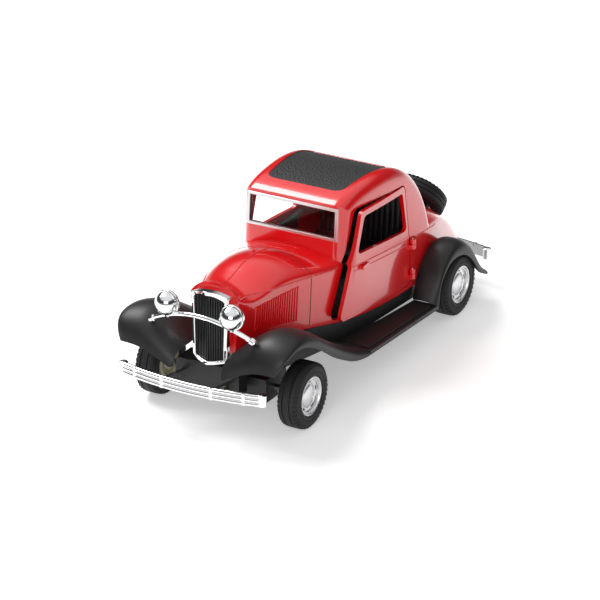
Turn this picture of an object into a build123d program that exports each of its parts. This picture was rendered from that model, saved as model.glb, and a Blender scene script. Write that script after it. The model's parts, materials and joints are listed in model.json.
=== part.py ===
"""A small friction-drive toy coupe, built as separate pieces on a black chassis.

Millimetres, +Z up.  The car faces -Y and its left side is +X.  While the pieces are
made, Y is measured from the middle of the wheelbase; put() then slides every piece by
SLIDE, so that the origin lies on the ground under the middle of the overall length.
"""
from build123d import *
import math
import os

# ---- overall sizes -----------------------------------------------------------------
WHEELBASE = 79.0
FRONT_END = -61.5          # foremost face of the front bumper
REAR_END = 64.5            # rearmost face of the rear bumper
SLIDE = -(FRONT_END + REAR_END) / 2
WALL = 1.0                 # body and fender skin
PAN_WALL = 1.2             # chassis floor and sides
FACE_GAP = 0.3             # between curved pieces that must not touch
RUNNING_FIT = 0.05         # radial play of a shaft in its bearing

# ---- wheels ------------------------------------------------------------------------
TYRE_R = 8.56
TYRE_W = 5.8
TYRE_BORE_R = 5.1
WHEEL_FACE_X = 23.4        # outer face of the tyre from the centre line
HUB_R = 4.3
AXLE_R = 1.0
CAP_R = 2.9
SLOTS = 5
FRONT_Y = -WHEELBASE / 2
REAR_Y = WHEELBASE / 2
AXLE_Z = TYRE_R

# ---- friction motor ----------------------------------------------------------------
MODULE = 0.5
PRESSURE = math.radians(25)
AXLE_TEETH = 16
IDLER_TEETH = 18
PINION_TEETH = 9
GEAR_W = 2.0
BACKLASH = 0.12
SHAFT_R = 0.75
FLYWHEEL_R = 5.0
FLYWHEEL_W = 4.5
IDLER_UP = math.radians(150)
FLYWHEEL_UP = math.radians(175)
CASE_WALL = 0.8
CASE_GAP = 0.5
FIRST_PLANE_X = -4.5       # axle gear and idler pinion
SECOND_PLANE_X = -1.5      # idler gear and flywheel pinion
FLYWHEEL_X = 1.5

# ---- body --------------------------------------------------------------------------
NOSE_Y = -47.0
COWL_Y = -20.0
SCREEN_Y = -9.5
# station, bottom height, bottom half width, belt height, belt half width, crown height
STATIONS = [
    (NOSE_Y, 17.3, 5.6, 33.4, 6.9, 37.2),
    (-34.0, 17.3, 8.7, 32.7, 9.8, 37.0),
    (COWL_Y, 17.0, 12.0, 31.9, 12.6, 36.2),
    (SCREEN_Y, 15.0, 14.2, 30.8, 14.4, 33.6),
    (8.0, 13.0, 16.0, 29.2, 16.2, 33.2),
    (24.0, 12.7, 17.0, 27.4, 17.1, 34.0),
    (36.0, 12.7, 16.7, 26.0, 16.3, 31.4),
    (47.0, 12.6, 15.0, 22.6, 14.0, 26.2),
    (54.5, 12.4, 13.4, 17.6, 12.2, 20.8),
    (59.0, 12.2, 12.0, 13.2, 11.0, 14.9),
]
SHOULDER_R = 1.6
# side outline of the cabin from the cowl over the roof to the tail
ROOF_LINE = [(-8.3, 45.9), (-4.5, 47.3), (2.0, 48.2), (10.0, 48.3), (17.0, 47.3),
             (23.5, 44.9), (29.0, 40.6), (33.0, 34.6), (35.2, 27.0)]
# station, half width low down, half width at the roof
CABIN_WIDTHS = [(-12.0, 14.3, 14.9), (6.0, 16.0, 15.4), (20.0, 16.9, 15.3), (37.0, 16.7, 12.8)]
CABIN_LOW = 26.0
CABIN_HIGH = 50.0
ROOF_EDGE_R = 3.4

# ---- doors -------------------------------------------------------------------------
DOOR_FRONT_LOW = (-13.4, 16.6)
DOOR_FRONT_BELT = (-7.9, 31.2)
DOOR_FRONT_TOP = (-3.6, 43.4)
DOOR_REAR_TOP = (21.2, 41.6)
DOOR_REAR_LOW = (22.6, 13.9)
DOOR_GAP = 0.35
DOOR_AJAR = 4.5
DOOR_TRIM = 0.7
TRIM_GAP = 0.12
SILL_GAP = 0.15            # between the body's lower edge and the tray
GRIP_X = 15.4              # handle, clear of the panel
GRIP_Z = 28.6
WINDOW_MARGIN = 1.5
WINDOW_SILL_FRONT = 32.6
WINDOW_SILL_REAR = 29.4
HINGE_X = 17.65
HINGE_Y = DOOR_REAR_LOW[0] + DOOR_GAP / 2
KNUCKLE_R = 0.9
KNUCKLE_H = 1.3
PIN_R = 0.4
HINGE_HEIGHTS = (15.6, 24.0)

# ---- fenders and boards ------------------------------------------------------------
FENDER_X = 24.6
FENDER_EDGE_R = 2.2
EDGE_STEPS = 4
APRON_X = 16.4             # the fender tops fall away to the body inwards of this
FRONT_DROPS = [4.2, 5.2, 6.2, 7.0, 6.0, 3.4, 1.0, 0.0, 0.0]
EDGE_SINK = 0.5           # share of the skirt that the rounded edge takes
BOARD_FRONT = (-12.0, 9.1)
BOARD_REAR = (24.4, 7.6)
BOARD_T = 1.2
MAT_T = 0.4
MAT_RIBS = 7
FRONT_CREST = [(-57.0, 20.0), (-56.0, 24.0), (-52.5, 27.2), (-47.0, 28.4), (-41.0, 27.0),
               (-35.0, 23.8), (-26.2, 17.8), (-18.5, 13.2), (BOARD_FRONT[0], 10.9)]
FRONT_LIP = [(-55.8, 20.0), (-54.8, 23.0), (-51.5, 25.3), (-45.4, 24.7), (-37.8, 21.0),
             (-29.1, 14.8), (-20.6, 10.6), (-15.0, 9.3), (BOARD_FRONT[0], 9.1)]
REAR_CREST = [(BOARD_REAR[0] - 2.0, 9.7), (24.9, 14.8), (28.2, 19.6), (33.4, 22.3), (39.5, 21.8),
              (44.4, 18.9), (48.2, 13.6), (50.6, 9.8), (53.0, 8.4)]
REAR_LIP = [(BOARD_REAR[0], 7.6), (25.6, 14.3), (29.6, 18.0), (33.6, 18.9), (38.9, 17.9),
            (42.6, 15.4), (45.4, 12.0), (48.0, 8.8), (52.2, 7.0)]

# ---- radiator, lamps, bumpers, spare ----------------------------------------------
RADIATOR_HALF = 5.3
RADIATOR_LOW = 17.2
RADIATOR_HIGH = 34.4
RADIATOR_ARCH = 1.6
RADIATOR_BAR = 0.95
RADIATOR_FRONT = -51.4
RADIATOR_RAKE = 2.0        # how far the centre stands ahead of the sides
GRILLE_BARS = 15
LAMP = (9.4, -54.4, 32.6)
LAMP_R = 3.1
LAMP_BAR_R = 0.55
LAMP_BAR_END = (15.0, -52.6, 27.3)
LAMP_BAR_TOP = (-54.4, 29.4)
BUMPER_HALF = 20.9
BUMPER_H = 3.2
BUMPER_T = 0.9
BUMPER_BOW = 2.6
FRONT_BUMPER_Z = 14.2
REAR_BUMPER_Z = 8.8
HOOK_R = 1.1
BRACKET_X = 7.0
SPARE = (57.0, 22.8)
SPARE_LEAN = 50.0
SPARE_W = 5.0

# ---- cabin fittings ----------------------------------------------------------------
SCREEN_H = 8.7
SCREEN_MIDDLE = 40.7
FACE_FOOT = (-9.9, 25.0)   # lower end of the straight line of the cabin's front face
SCREEN_PROUD = 0.35
DASH_Y = (-11.4, -9.0)
DASH_Z = (26.4, 31.4)
DASH_LIP = 0.9
SCREEN_DEPTH = 1.4
SCREEN_HALF = 13.1
SCREEN_BAR = 0.8
GLASS_T = 0.5
FLOOR_Z = 15.0
FLOOR_HALF = 11.8
RISER_Z = 18.6
INSERT_FRONT = (-3.4, 11.0)
INSERT_REAR = (19.6, 12.4)
INSERT_T = 0.7
SCREW_R = 0.8
BOSS_R = 2.2
SCREW_Y = (-28.0, 50.0)
SCREW_LENGTH = 6.0
PAN_BOTTOM = 9.3
PAN_FLOOR_TOP = PAN_BOTTOM + PAN_WALL

FACE_SLOPE = (ROOF_LINE[0][0] - FACE_FOOT[0]) / (ROOF_LINE[0][1] - FACE_FOOT[1])
SCREEN_PLACE = (Pos(0, FACE_FOOT[0] + (SCREEN_MIDDLE - FACE_FOOT[1]) * FACE_SLOPE, SCREEN_MIDDLE)
                * Rot(-math.degrees(math.atan(FACE_SLOPE)), 0, 0))

os.makedirs("parts", exist_ok=True)


def put(name, shape):
    """Slide a finished piece so the origin is under the middle, and write it out."""
    export_step(Pos(0, SLIDE, 0) * shape, f"parts/{name}.step")


def block(x0, x1, y0, y1, z0, z1):
    return Pos((x0 + x1) / 2, (y0 + y1) / 2, (z0 + z1) / 2) * Box(x1 - x0, y1 - y0, z1 - z0)


def rod_x(y, z, r, x0, x1):
    """A round bar along X."""
    return Pos((x0 + x1) / 2, y, z) * Rot(0, 90, 0) * Cylinder(r, x1 - x0)


def side_slab(points, x0, x1, curve=False):
    """A slab whose outline lies in the side view, from x0 to x1."""
    outline = points if curve else Polyline(*points, close=True)
    return extrude(Plane.YZ.offset(x0) * make_face(outline), amount=x1 - x0)


def mirrored(shape):
    return mirror(shape, about=Plane.YZ)


def largest(shape):
    return shape.solids().sort_by(SortBy.VOLUME)[-1]


# ---- body surfaces -----------------------------------------------------------------

def body_section(station, inset, drop):
    """One cross section of the lower body, moved inwards by inset."""
    y, low, half_low, belt, half_belt, crown = station
    half_low -= inset
    half_belt -= inset
    low -= drop
    sides = Polyline((half_belt, belt), (half_low, low), (-half_low, low), (-half_belt, belt))
    top = ThreePointArc((half_belt, belt), (0, crown - inset), (-half_belt, belt))
    face = make_face(sides + top)
    shoulders = face.vertices().filter_by_position(Axis.Y, belt - 0.01, belt + 0.01)
    face = fillet(shoulders, SHOULDER_R)
    return Plane.XZ.offset(-y) * face


def lower_body(inset=0.0, drop=0.0, first=0, last=len(STATIONS)):
    sections = [body_section(s, inset, drop) for s in STATIONS[first:last]]
    return loft(sections)


def cabin(inset=0.0):
    """The closed block of the cabin, from the belt up to the roof."""
    front_foot = (FACE_FOOT[0] + inset, FACE_FOOT[1])
    roof = [(y, z - inset) for y, z in ROOF_LINE]
    roof[0] = (roof[0][0] + inset, roof[0][1])
    roof[-2] = (roof[-2][0] - inset, roof[-2][1] + inset)
    roof[-1] = (roof[-1][0] - inset, CABIN_LOW)
    rear_foot = (roof[-1][0], front_foot[1])
    outline = (Polyline(roof[-1], rear_foot, front_foot, roof[0]) + Spline(*roof))
    slab = side_slab(outline, -20, 20, curve=True)
    faces = []
    for y, low_half, high_half in CABIN_WIDTHS:
        low = low_half - inset
        high = high_half - inset
        trapezium = Polyline((low, CABIN_LOW), (high, CABIN_HIGH), (-high, CABIN_HIGH),
                             (-low, CABIN_LOW), close=True)
        faces.append(Plane.XZ.offset(-y) * make_face(trapezium))
    block_shape = slab & loft(faces)
    rims = [e for e in block_shape.edges()
            if e.center().Z > 30 and abs(e.center().X) > 9 and e.length > 8]
    return fillet(rims, ROOF_EDGE_R - inset)


def door_outline(grow):
    """Outline of the left door in the side view, grown all round."""
    corners = [DOOR_FRONT_LOW, DOOR_FRONT_BELT, DOOR_FRONT_TOP, DOOR_REAR_TOP, DOOR_REAR_LOW]
    face = make_face(Polyline(*corners, close=True))
    face = fillet(face.vertices(), 1.6)
    if grow:
        face = offset(face, grow)
    return face


def door_block(grow, x0, x1):
    return extrude(Plane.YZ.offset(x0) * door_outline(grow), amount=x1 - x0)


def window_block(x0, x1):
    """The glazed opening in the door."""
    sill = [(DOOR_FRONT_BELT[0] + 2.2, WINDOW_SILL_FRONT),
            (DOOR_FRONT_TOP[0] + WINDOW_MARGIN, DOOR_FRONT_TOP[1] - WINDOW_MARGIN),
            (DOOR_REAR_TOP[0] - WINDOW_MARGIN, DOOR_REAR_TOP[1] - WINDOW_MARGIN),
            (DOOR_REAR_LOW[0] - WINDOW_MARGIN, WINDOW_SILL_REAR)]
    face = make_face(Polyline(*sill, close=True))
    face = fillet(face.vertices(), 1.3)
    return extrude(Plane.YZ.offset(x0) * face, amount=x1 - x0)


def knuckle(z, r):
    return Pos(HINGE_X, HINGE_Y, z + KNUCKLE_H / 2) * Cylinder(r, KNUCKLE_H)


outer = lower_body() + cabin()
hollow = lower_body(inset=WALL, drop=3.0, first=0, last=len(STATIONS)) + cabin(inset=WALL)
hollow = hollow & block(-30, 30, NOSE_Y + WALL, STATIONS[-1][0] - WALL, 0, 60)


def roof_insert():
    """The grained panel let into the roof."""
    (front, front_half), (rear, rear_half) = INSERT_FRONT, INSERT_REAR
    plan = make_face(Polyline((front_half, front), (rear_half, rear), (-rear_half, rear),
                              (-front_half, front), close=True))
    plan = fillet(plan.vertices(), 2.6)
    prism = extrude(Pos(0, 0, 40) * plan, amount=15)
    skin = cabin() - Pos(0, 0, -INSERT_T) * cabin()
    return prism & skin


def body_shell():
    shell = outer - hollow
    # windscreen, rear window and the rounded recess in the roof
    shell -= SCREEN_PLACE * Box(2 * SCREEN_HALF, 8, SCREEN_H)
    shell -= block(-6.5, 6.5, 25, 40, 32.2, 37.2)
    shell -= roof_insert()
    for side in (1, -1):
        opening = door_block(DOOR_GAP, 9, 22)
        shell -= opening if side == 1 else mirrored(opening)
    for z in HINGE_HEIGHTS:
        for side in (1, -1):
            notch = knuckle(z - 0.1, KNUCKLE_R + 0.2) + knuckle(z + 0.1, KNUCKLE_R + 0.2)
            shell -= notch if side == 1 else mirrored(notch)
            eye = knuckle(z + KNUCKLE_H + 0.1, KNUCKLE_R)
            eye += block(HINGE_X - 1.6, HINGE_X, HINGE_Y + 0.3, HINGE_Y + 1.2,
                         z + KNUCKLE_H + 0.1, z + 2 * KNUCKLE_H + 0.1)
            eye -= Pos(HINGE_X, HINGE_Y, z + KNUCKLE_H) * Cylinder(PIN_R, 4 * KNUCKLE_H)
            shell += eye if side == 1 else mirrored(eye)
    # two screw bosses reach down to the chassis
    for y, top in zip(SCREW_Y, (36.9, 23.5)):
        boss = Pos(0, y, (PAN_FLOOR_TOP + top) / 2) * Cylinder(BOSS_R, top - PAN_FLOOR_TOP)
        boss -= Pos(0, y, PAN_FLOOR_TOP) * Cylinder(SCREW_R, 2 * SCREW_LENGTH)
        shell += boss & (outer + block(-4, 4, y - 4, y + 4, PAN_FLOOR_TOP, 18))
    return largest(shell)


def door():
    """The left door, shut: skin, window frame and two hinge knuckles."""
    panel = (outer - hollow) & door_block(0, 9, 22)
    panel -= window_block(9, 22)
    for z in HINGE_HEIGHTS:
        notch = knuckle(z + KNUCKLE_H, KNUCKLE_R + 0.25) + knuckle(z + KNUCKLE_H + 0.2, KNUCKLE_R + 0.25)
        panel -= notch
        arm = block(HINGE_X - 1.0, HINGE_X, HINGE_Y - 1.6, HINGE_Y, z, z + KNUCKLE_H)
        eye = knuckle(z, KNUCKLE_R) + arm
        eye -= Pos(HINGE_X, HINGE_Y, z) * Cylinder(PIN_R + RUNNING_FIT, 4 * KNUCKLE_H)
        panel += eye
    grip_y = DOOR_FRONT_BELT[0] + 4.0
    panel += rod_x(grip_y, GRIP_Z, 0.5, GRIP_X - 1.2, GRIP_X)
    panel += Pos(GRIP_X + 0.25, grip_y + 1.4, GRIP_Z) * Box(0.7, 3.6, 0.8)
    return largest(panel)


def door_trim():
    """The black inner panel of the left door, below the window."""
    inner = lower_body(inset=WALL + TRIM_GAP, first=2, last=8)
    lining = inner - lower_body(inset=WALL + TRIM_GAP + DOOR_TRIM, first=2, last=8)
    area = door_block(-1.2, 9, 22) & block(9, 22, -30, 30, 15.4, 29.0)
    return lining & area


def hinge_pins():
    pins = [Pos(HINGE_X, HINGE_Y, z + KNUCKLE_H + 0.05) * Cylinder(PIN_R, 2 * KNUCKLE_H + 0.5)
            for z in HINGE_HEIGHTS]
    return pins[0] + pins[1]


def swung(shape):
    """Turn a left door piece outwards to its resting, slightly open place."""
    return shape.rotate(Axis((HINGE_X, HINGE_Y, 0), (0, 0, 1)), DOOR_AJAR)


put("body_shell", body_shell())
put("roof_insert", roof_insert())
left_door = door()
left_trim = door_trim()
put("door_left", swung(left_door))
put("door_right", mirrored(left_door))
put("door_trim_left", swung(left_trim))
put("door_trim_right", mirrored(left_trim))
put("hinge_pins", hinge_pins() + mirrored(hinge_pins()))


# ---- chassis -----------------------------------------------------------------------
IDLER_AT = (REAR_Y + (AXLE_TEETH + PINION_TEETH) * MODULE / 2 * math.cos(IDLER_UP),
            AXLE_Z + (AXLE_TEETH + PINION_TEETH) * MODULE / 2 * math.sin(IDLER_UP))
FLYWHEEL_AT = (IDLER_AT[0] + (IDLER_TEETH + PINION_TEETH) * MODULE / 2 * math.cos(FLYWHEEL_UP),
               IDLER_AT[1] + (IDLER_TEETH + PINION_TEETH) * MODULE / 2 * math.sin(FLYWHEEL_UP))
ADDENDUM = 0.7 * MODULE
AXLE_TIP_R = AXLE_TEETH * MODULE / 2 + ADDENDUM
CASE_FRONT = FLYWHEEL_AT[0] - FLYWHEEL_R - CASE_GAP - CASE_WALL
CASE_REAR = REAR_Y + AXLE_TIP_R + CASE_GAP + CASE_WALL
CASE_BOTTOM = AXLE_Z - AXLE_TIP_R - CASE_GAP - CASE_WALL
CASE_TOP = FLYWHEEL_AT[1] + FLYWHEEL_R + CASE_GAP
CASE_LEFT = FLYWHEEL_X + FLYWHEEL_W + CASE_GAP + CASE_WALL
CASE_RIGHT = FIRST_PLANE_X - CASE_GAP - CASE_WALL


def pan_loft(inset, low, lift):
    """The chassis tray up to the sills; its sides follow the lower edge of the body."""
    faces = []
    for y, sill, half, *_ in STATIONS:
        near_wheel = 28 < y < 50
        half = (12.4 if near_wheel else half) - inset
        section = Polyline((half, low), (half, sill + lift), (-half, sill + lift),
                           (-half, low), close=True)
        faces.append(Plane.XZ.offset(-y) * make_face(section))
    return loft(faces, ruled=True)


def chassis():
    tray = pan_loft(0, PAN_BOTTOM, 0)
    tray -= pan_loft(PAN_WALL, PAN_FLOOR_TOP, 5) & block(-30, 30, NOSE_Y + 2, 57, 0, 40)
    # cross ribs that carry the cabin floor
    for y in (-9.0, 12.0):
        tray += block(-12.5, 12.5, y - 0.7, y + 0.7, PAN_BOTTOM, FLOOR_Z)
    # front axle carrier and the two rear axle ears
    carrier = block(-13, 13, FRONT_Y - 5, FRONT_Y + 5, AXLE_Z - AXLE_R - 1.3, PAN_FLOOR_TOP + 2)
    carrier -= block(-11.5, 11.5, FRONT_Y - 3.6, FRONT_Y + 3.6, 0, PAN_BOTTOM)
    tray += carrier
    for x in (-11.6, 9.2):
        tray += block(x, x + 2.4, REAR_Y - 3, REAR_Y + 3, AXLE_Z - AXLE_R - 1.3, PAN_FLOOR_TOP)
    # front cross member under the radiator, with the number-plate sized tab behind it
    tray += block(-RADIATOR_HALF - 3.5, RADIATOR_HALF + 3.5, RADIATOR_FRONT + 0.8, NOSE_Y + 3,
                  13.4, RADIATOR_LOW - 0.7)
    tray += block(-BRACKET_X - 1.5, BRACKET_X + 1.5, -50, NOSE_Y + 1, PAN_BOTTOM, 14)
    for y in (FRONT_Y, REAR_Y):
        tray -= rod_x(y, AXLE_Z, AXLE_R + RUNNING_FIT, -20, 20)
    # the motor case drops through the tray
    tray -= block(CASE_RIGHT, CASE_LEFT, CASE_FRONT, CASE_REAR, 0, 30)
    for y in SCREW_Y:
        tray -= Pos(0, y, PAN_BOTTOM) * Cylinder(SCREW_R + 0.15, 6)
    # the body's lower edge stands clear of the tray all round
    return tray - (lower_body(inset=-SILL_GAP, drop=SILL_GAP) - hollow)


def body_screws():
    screws = []
    for y in SCREW_Y:
        head = Pos(0, y, PAN_BOTTOM - 0.5) * Cylinder(1.7, 1.0)
        head -= Pos(0, y, PAN_BOTTOM - 0.9) * (Box(2.2, 0.5, 0.5) + Box(0.5, 2.2, 0.5))
        shank = Pos(0, y, PAN_BOTTOM + SCREW_LENGTH / 2 - 0.2) * Cylinder(SCREW_R, SCREW_LENGTH)
        screws.append(head + shank)
    return screws[0] + screws[1]


pan = chassis()
put("chassis", pan)
put("body_screws", body_screws())


# ---- fenders and running boards ----------------------------------------------------
def fender_section(crest, lip, x, sink):
    """The side outline at x, with its crest let down towards the lip by the share sink."""
    top = [(cy + (ly - cy) * sink, cz + (lz - cz) * sink)
           for (cy, cz), (ly, lz) in zip(crest, lip)]
    outline = Spline(*top) + Polyline(top[-1], lip[-1]) + Spline(*lip[::-1])
    outline += Polyline(lip[0], top[0])
    return Plane.YZ.offset(x) * make_face(outline)


def lowered(line, drops):
    return [(y, z - drop) for (y, z), drop in zip(line, drops)]


def fender_cavity(crest, x):
    """Outline at x of the room below the fender's top."""
    under = Spline(*[(y, z - WALL) for y, z in crest])
    low = [(crest[-1][0], crest[-1][1] - WALL), (crest[-1][0] + 0.01, -5), (crest[0][0], -5),
           (crest[0][0], crest[0][1] - WALL)]
    return Plane.YZ.offset(x) * make_face(under + Polyline(*low))


def fender(crest, lip, inner_x, drops):
    """A left fender: a domed top with a skirt on its outer side, open below.

    Inwards of APRON_X the top falls away to the body by drops, one for each crest point."""
    flat_end = FENDER_X - FENDER_EDGE_R
    low_crest = lowered(crest, drops)
    solid = loft([fender_section(low_crest, lowered(lip, drops), inner_x, 0),
                  fender_section(crest, lip, APRON_X, 0)], ruled=True)
    solid += extrude(fender_section(crest, lip, APRON_X, 0), amount=flat_end - APRON_X)
    rolls = []
    for step in range(EDGE_STEPS + 1):
        turn = math.pi / 2 * step / EDGE_STEPS
        rolls.append(fender_section(crest, lip, flat_end + FENDER_EDGE_R * math.sin(turn),
                                    EDGE_SINK * (1 - math.cos(turn))))
    solid += loft(rolls, ruled=True)
    cavity = extrude(fender_cavity(low_crest, inner_x - 1), amount=1)
    cavity += loft([fender_cavity(low_crest, inner_x), fender_cavity(crest, APRON_X)], ruled=True)
    cavity += extrude(fender_cavity(crest, APRON_X), amount=FENDER_X - WALL - APRON_X)
    return solid - cavity


def hood_clearance():
    """Room for the body between the fenders."""
    grown = [(y, -5, half + FACE_GAP, belt, half_belt + FACE_GAP, crown + 5)
             for y, _, half, belt, half_belt, crown in STATIONS]
    faces = []
    for y, low, half, _, half_belt, _ in grown:
        widest = max(half, half_belt)
        section = Polyline((half, low), (half, 16), (widest, 17), (widest, 45), (-widest, 45),
                           (-widest, 17), (-half, 16), (-half, low), close=True)
        faces.append(Plane.XZ.offset(-y) * make_face(section))
    ahead = block(-6.2, 6.2, -70, NOSE_Y + 1, -5, 45)
    return loft(faces, ruled=True) + ahead


def running_board():
    front_y, front_z = BOARD_FRONT
    rear_y, rear_z = BOARD_REAR
    outline = [(front_y, front_z), (rear_y, rear_z), (rear_y, rear_z + BOARD_T),
               (front_y, front_z + BOARD_T)]
    board = side_slab(outline, 10, FENDER_X)
    return board - hood_clearance()


def board_mat():
    """The ribbed tread mat that lies on the left running board."""
    front_y, front_z = BOARD_FRONT
    rear_y, rear_z = BOARD_REAR
    slope = (rear_z - front_z) / (rear_y - front_y)
    base = [(front_y + 1, front_z + slope + BOARD_T),
            (rear_y - 1, rear_z - slope + BOARD_T)]
    outline = base + [(base[1][0], base[1][1] + MAT_T), (base[0][0], base[0][1] + MAT_T)]
    mat = side_slab(outline, 10, FENDER_X - 1.2)
    ribs = [(y, z + (MAT_T if i > 1 else MAT_T / 2)) for i, (y, z) in enumerate(base + base[::-1])]
    first = 18.2
    pitch = (FENDER_X - 2.4 - first) / (MAT_RIBS - 1)
    for i in range(MAT_RIBS):
        mat += side_slab(ribs, first + i * pitch, first + i * pitch + pitch / 2)
    widest = hood_clearance() + Pos(0.6, 0, 0) * hood_clearance()
    return mat - widest


front_fender = fender(FRONT_CREST, FRONT_LIP, 6.2, FRONT_DROPS) - hood_clearance()
rear_fender = fender(REAR_CREST, REAR_LIP, 13.0, [0.0] * len(REAR_CREST)) - hood_clearance()
left_board = running_board()
rear_fender -= left_board
left_mat = board_mat()
for side, turn in (("left", lambda s: s), ("right", mirrored)):
    put(f"fender_front_{side}", turn(front_fender))
    put(f"fender_rear_{side}", turn(rear_fender))
    put(f"running_board_{side}", turn(left_board))
    put(f"board_mat_{side}", turn(left_mat))


# ---- radiator and lamps ------------------------------------------------------------
def radiator_outline(inset):
    half = RADIATOR_HALF - inset
    low = RADIATOR_LOW + inset
    high = RADIATOR_HIGH - inset
    top = ThreePointArc((half, high), (0, high + RADIATOR_ARCH), (-half, high))
    foot = ThreePointArc((-half + 0.4, low), (0, low - 0.7), (half - 0.4, low))
    sides = Polyline((-half, high), (-half + 0.4, low)) + Polyline((half - 0.4, low), (half, high))
    return make_face(top + sides + foot)


def vee_room(front):
    """Everything ahead of a V-shaped front whose point is at front."""
    points = [(0, front), (12, front + RADIATOR_RAKE * 12 / RADIATOR_HALF), (12, front - 20),
              (-12, front - 20), (-12, front + RADIATOR_RAKE * 12 / RADIATOR_HALF)]
    return extrude(make_face(Polyline(*points, close=True)), amount=60)


def radiator_shell():
    length = NOSE_Y - RADIATOR_FRONT
    frame_solid = extrude(Plane.XZ.offset(-NOSE_Y) * radiator_outline(0), amount=length)
    opening = extrude(Plane.XZ.offset(-NOSE_Y) * radiator_outline(RADIATOR_BAR), amount=length)
    return frame_solid - opening - vee_room(RADIATOR_FRONT)


def grille():
    length = NOSE_Y - RADIATOR_FRONT
    core = extrude(Plane.XZ.offset(-NOSE_Y) * radiator_outline(RADIATOR_BAR), amount=length)
    plate = core - vee_room(RADIATOR_FRONT + 1.1)
    bars = core - vee_room(RADIATOR_FRONT + 0.6)
    pitch = 2 * (RADIATOR_HALF - RADIATOR_BAR) / GRILLE_BARS
    for i in range(GRILLE_BARS):
        x = -RADIATOR_HALF + RADIATOR_BAR + (i + 0.5) * pitch
        plate += bars & block(x - pitch / 4, x + pitch / 4, -60, NOSE_Y, 10, 40)
    return plate


def headlamp():
    """Left lamp: a round bowl with a bezel, open at the front for its lens."""
    x, y, z = LAMP
    bowl = Sphere(LAMP_R) - Pos(0, -LAMP_R - 0.9, 0) * Box(10, 2 * LAMP_R, 10)
    rim = Pos(0, -1.3, 0) * Rot(90, 0, 0) * Cylinder(LAMP_R, 1.0)
    seat = Pos(0, -1.5, 0) * Rot(90, 0, 0) * Cylinder(LAMP_R - 0.4, 1.2)
    foot = Pos(0, 0, -LAMP_R + 0.1) * Cylinder(0.8, 1.6)
    lamp = Pos(x, y, z) * (bowl + rim - seat + foot)
    return lamp - lamp_bar_solid()


def lamp_lens():
    x, y, z = LAMP
    lens = Pos(0, -1.5, 0) * Rot(90, 0, 0) * Cylinder(LAMP_R - 0.4, 1.2)
    dome = Sphere(5.0) & Pos(0, -5.4, 0) * Box(2 * LAMP_R - 0.8, 2, 2 * LAMP_R - 0.8)
    cap = Pos(0, 2.3, 0) * dome & Pos(0, -2.3, 0) * Rot(90, 0, 0) * Cylinder(LAMP_R - 0.4, 2)
    return Pos(x, y, z) * (lens + cap)


def lamp_bar_solid():
    end_x, end_y, end_z = LAMP_BAR_END
    mid_y, mid_z = LAMP_BAR_TOP
    path = ThreePointArc((-end_x, end_y, end_z), (0, mid_y, mid_z), (end_x, end_y, end_z))
    tube = sweep(Plane(origin=path @ 0, z_dir=path % 0) * Circle(LAMP_BAR_R), path=path)
    return tube


def headlamp_bar():
    end_x, end_y, end_z = LAMP_BAR_END
    bar = lamp_bar_solid()
    for x in (-end_x, end_x):
        bar += Pos(x, end_y, end_z - 0.2) * Cylinder(0.95, 1.5)
    return largest(bar - front_fender - mirrored(front_fender))


put("radiator_shell", radiator_shell())
put("grille", grille())
put("headlamp_bar", headlamp_bar())
lamp_left = headlamp()
lens_left = lamp_lens()
put("headlamp_left", lamp_left)
put("headlamp_right", mirrored(lamp_left))
put("lamp_lens_left", lens_left)
put("lamp_lens_right", mirrored(lens_left))


# ---- bumpers -----------------------------------------------------------------------
def bumper(end_y, toward, z):
    """A bowed blade whose crown is at end_y; toward is +1 when the car lies on +Y."""
    crown = end_y + toward * BUMPER_T / 2
    tip = crown + toward * BUMPER_BOW
    line = ThreePointArc((-BUMPER_HALF + HOOK_R, tip), (0, crown), (BUMPER_HALF - HOOK_R, tip))
    band = trace(line, BUMPER_T)
    blade = extrude(Pos(0, 0, z - BUMPER_H / 2) * band, amount=BUMPER_H)
    for side in (-1, 1):
        blade += Pos(side * (BUMPER_HALF - HOOK_R), tip + toward * 0.5, z) * Cylinder(HOOK_R, BUMPER_H)
    return blade


def bracket_pair(y0, y1, z0, z1, height):
    """Two flat arms that carry a bumper."""
    arms = []
    for x in (-BRACKET_X, BRACKET_X):
        arm = [(y0, z0 - height / 2), (y1, z1 - height / 2), (y1, z1 + height / 2),
               (y0, z0 + height / 2)]
        arms.append(side_slab(arm, x - 0.6, x + 0.6))
    return arms[0] + arms[1]


front_blade = bumper(FRONT_END, 1, FRONT_BUMPER_Z)
rear_blade = bumper(REAR_END, -1, REAR_BUMPER_Z)
put("front_bumper", front_blade)
put("rear_bumper", rear_blade)
front_arms = bracket_pair(-61.2, -50.0, FRONT_BUMPER_Z, 12.4, 2.0) - front_blade - pan
rear_arms = bracket_pair(59.0, 64.2, PAN_BOTTOM + 1.6, REAR_BUMPER_Z, 2.0) - rear_blade
front_keep = front_arms.solids().filter_by(lambda s: s.center().Y > -61 and s.volume > 2)
rear_keep = rear_arms.solids().filter_by(lambda s: s.center().Y < 64 and s.volume > 2)
put("bumper_brackets", Compound(children=list(front_keep) + list(rear_keep)))


# ---- wheels ------------------------------------------------------------------------
def ring_x(profile):
    """Turn a (distance along X, radius) outline round the X axis."""
    face = make_face(Polyline(*[(x, r) for x, r in profile], close=True))
    return revolve(face, axis=Axis.X)


def tyre(width=TYRE_W):
    """A tyre lying on the X axis with its outer face at X = 0."""
    r = TYRE_R
    b = TYRE_BORE_R
    return ring_x([(0.0, b + 0.3), (0.0, b + 1.4), (-0.5, r - 0.9), (-1.3, r), (-width + 1.3, r),
                   (-width + 0.5, r - 0.9), (-width, b + 1.4), (-width, b + 0.3),
                   (-width + 0.4, b), (-0.4, b)])


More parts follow.
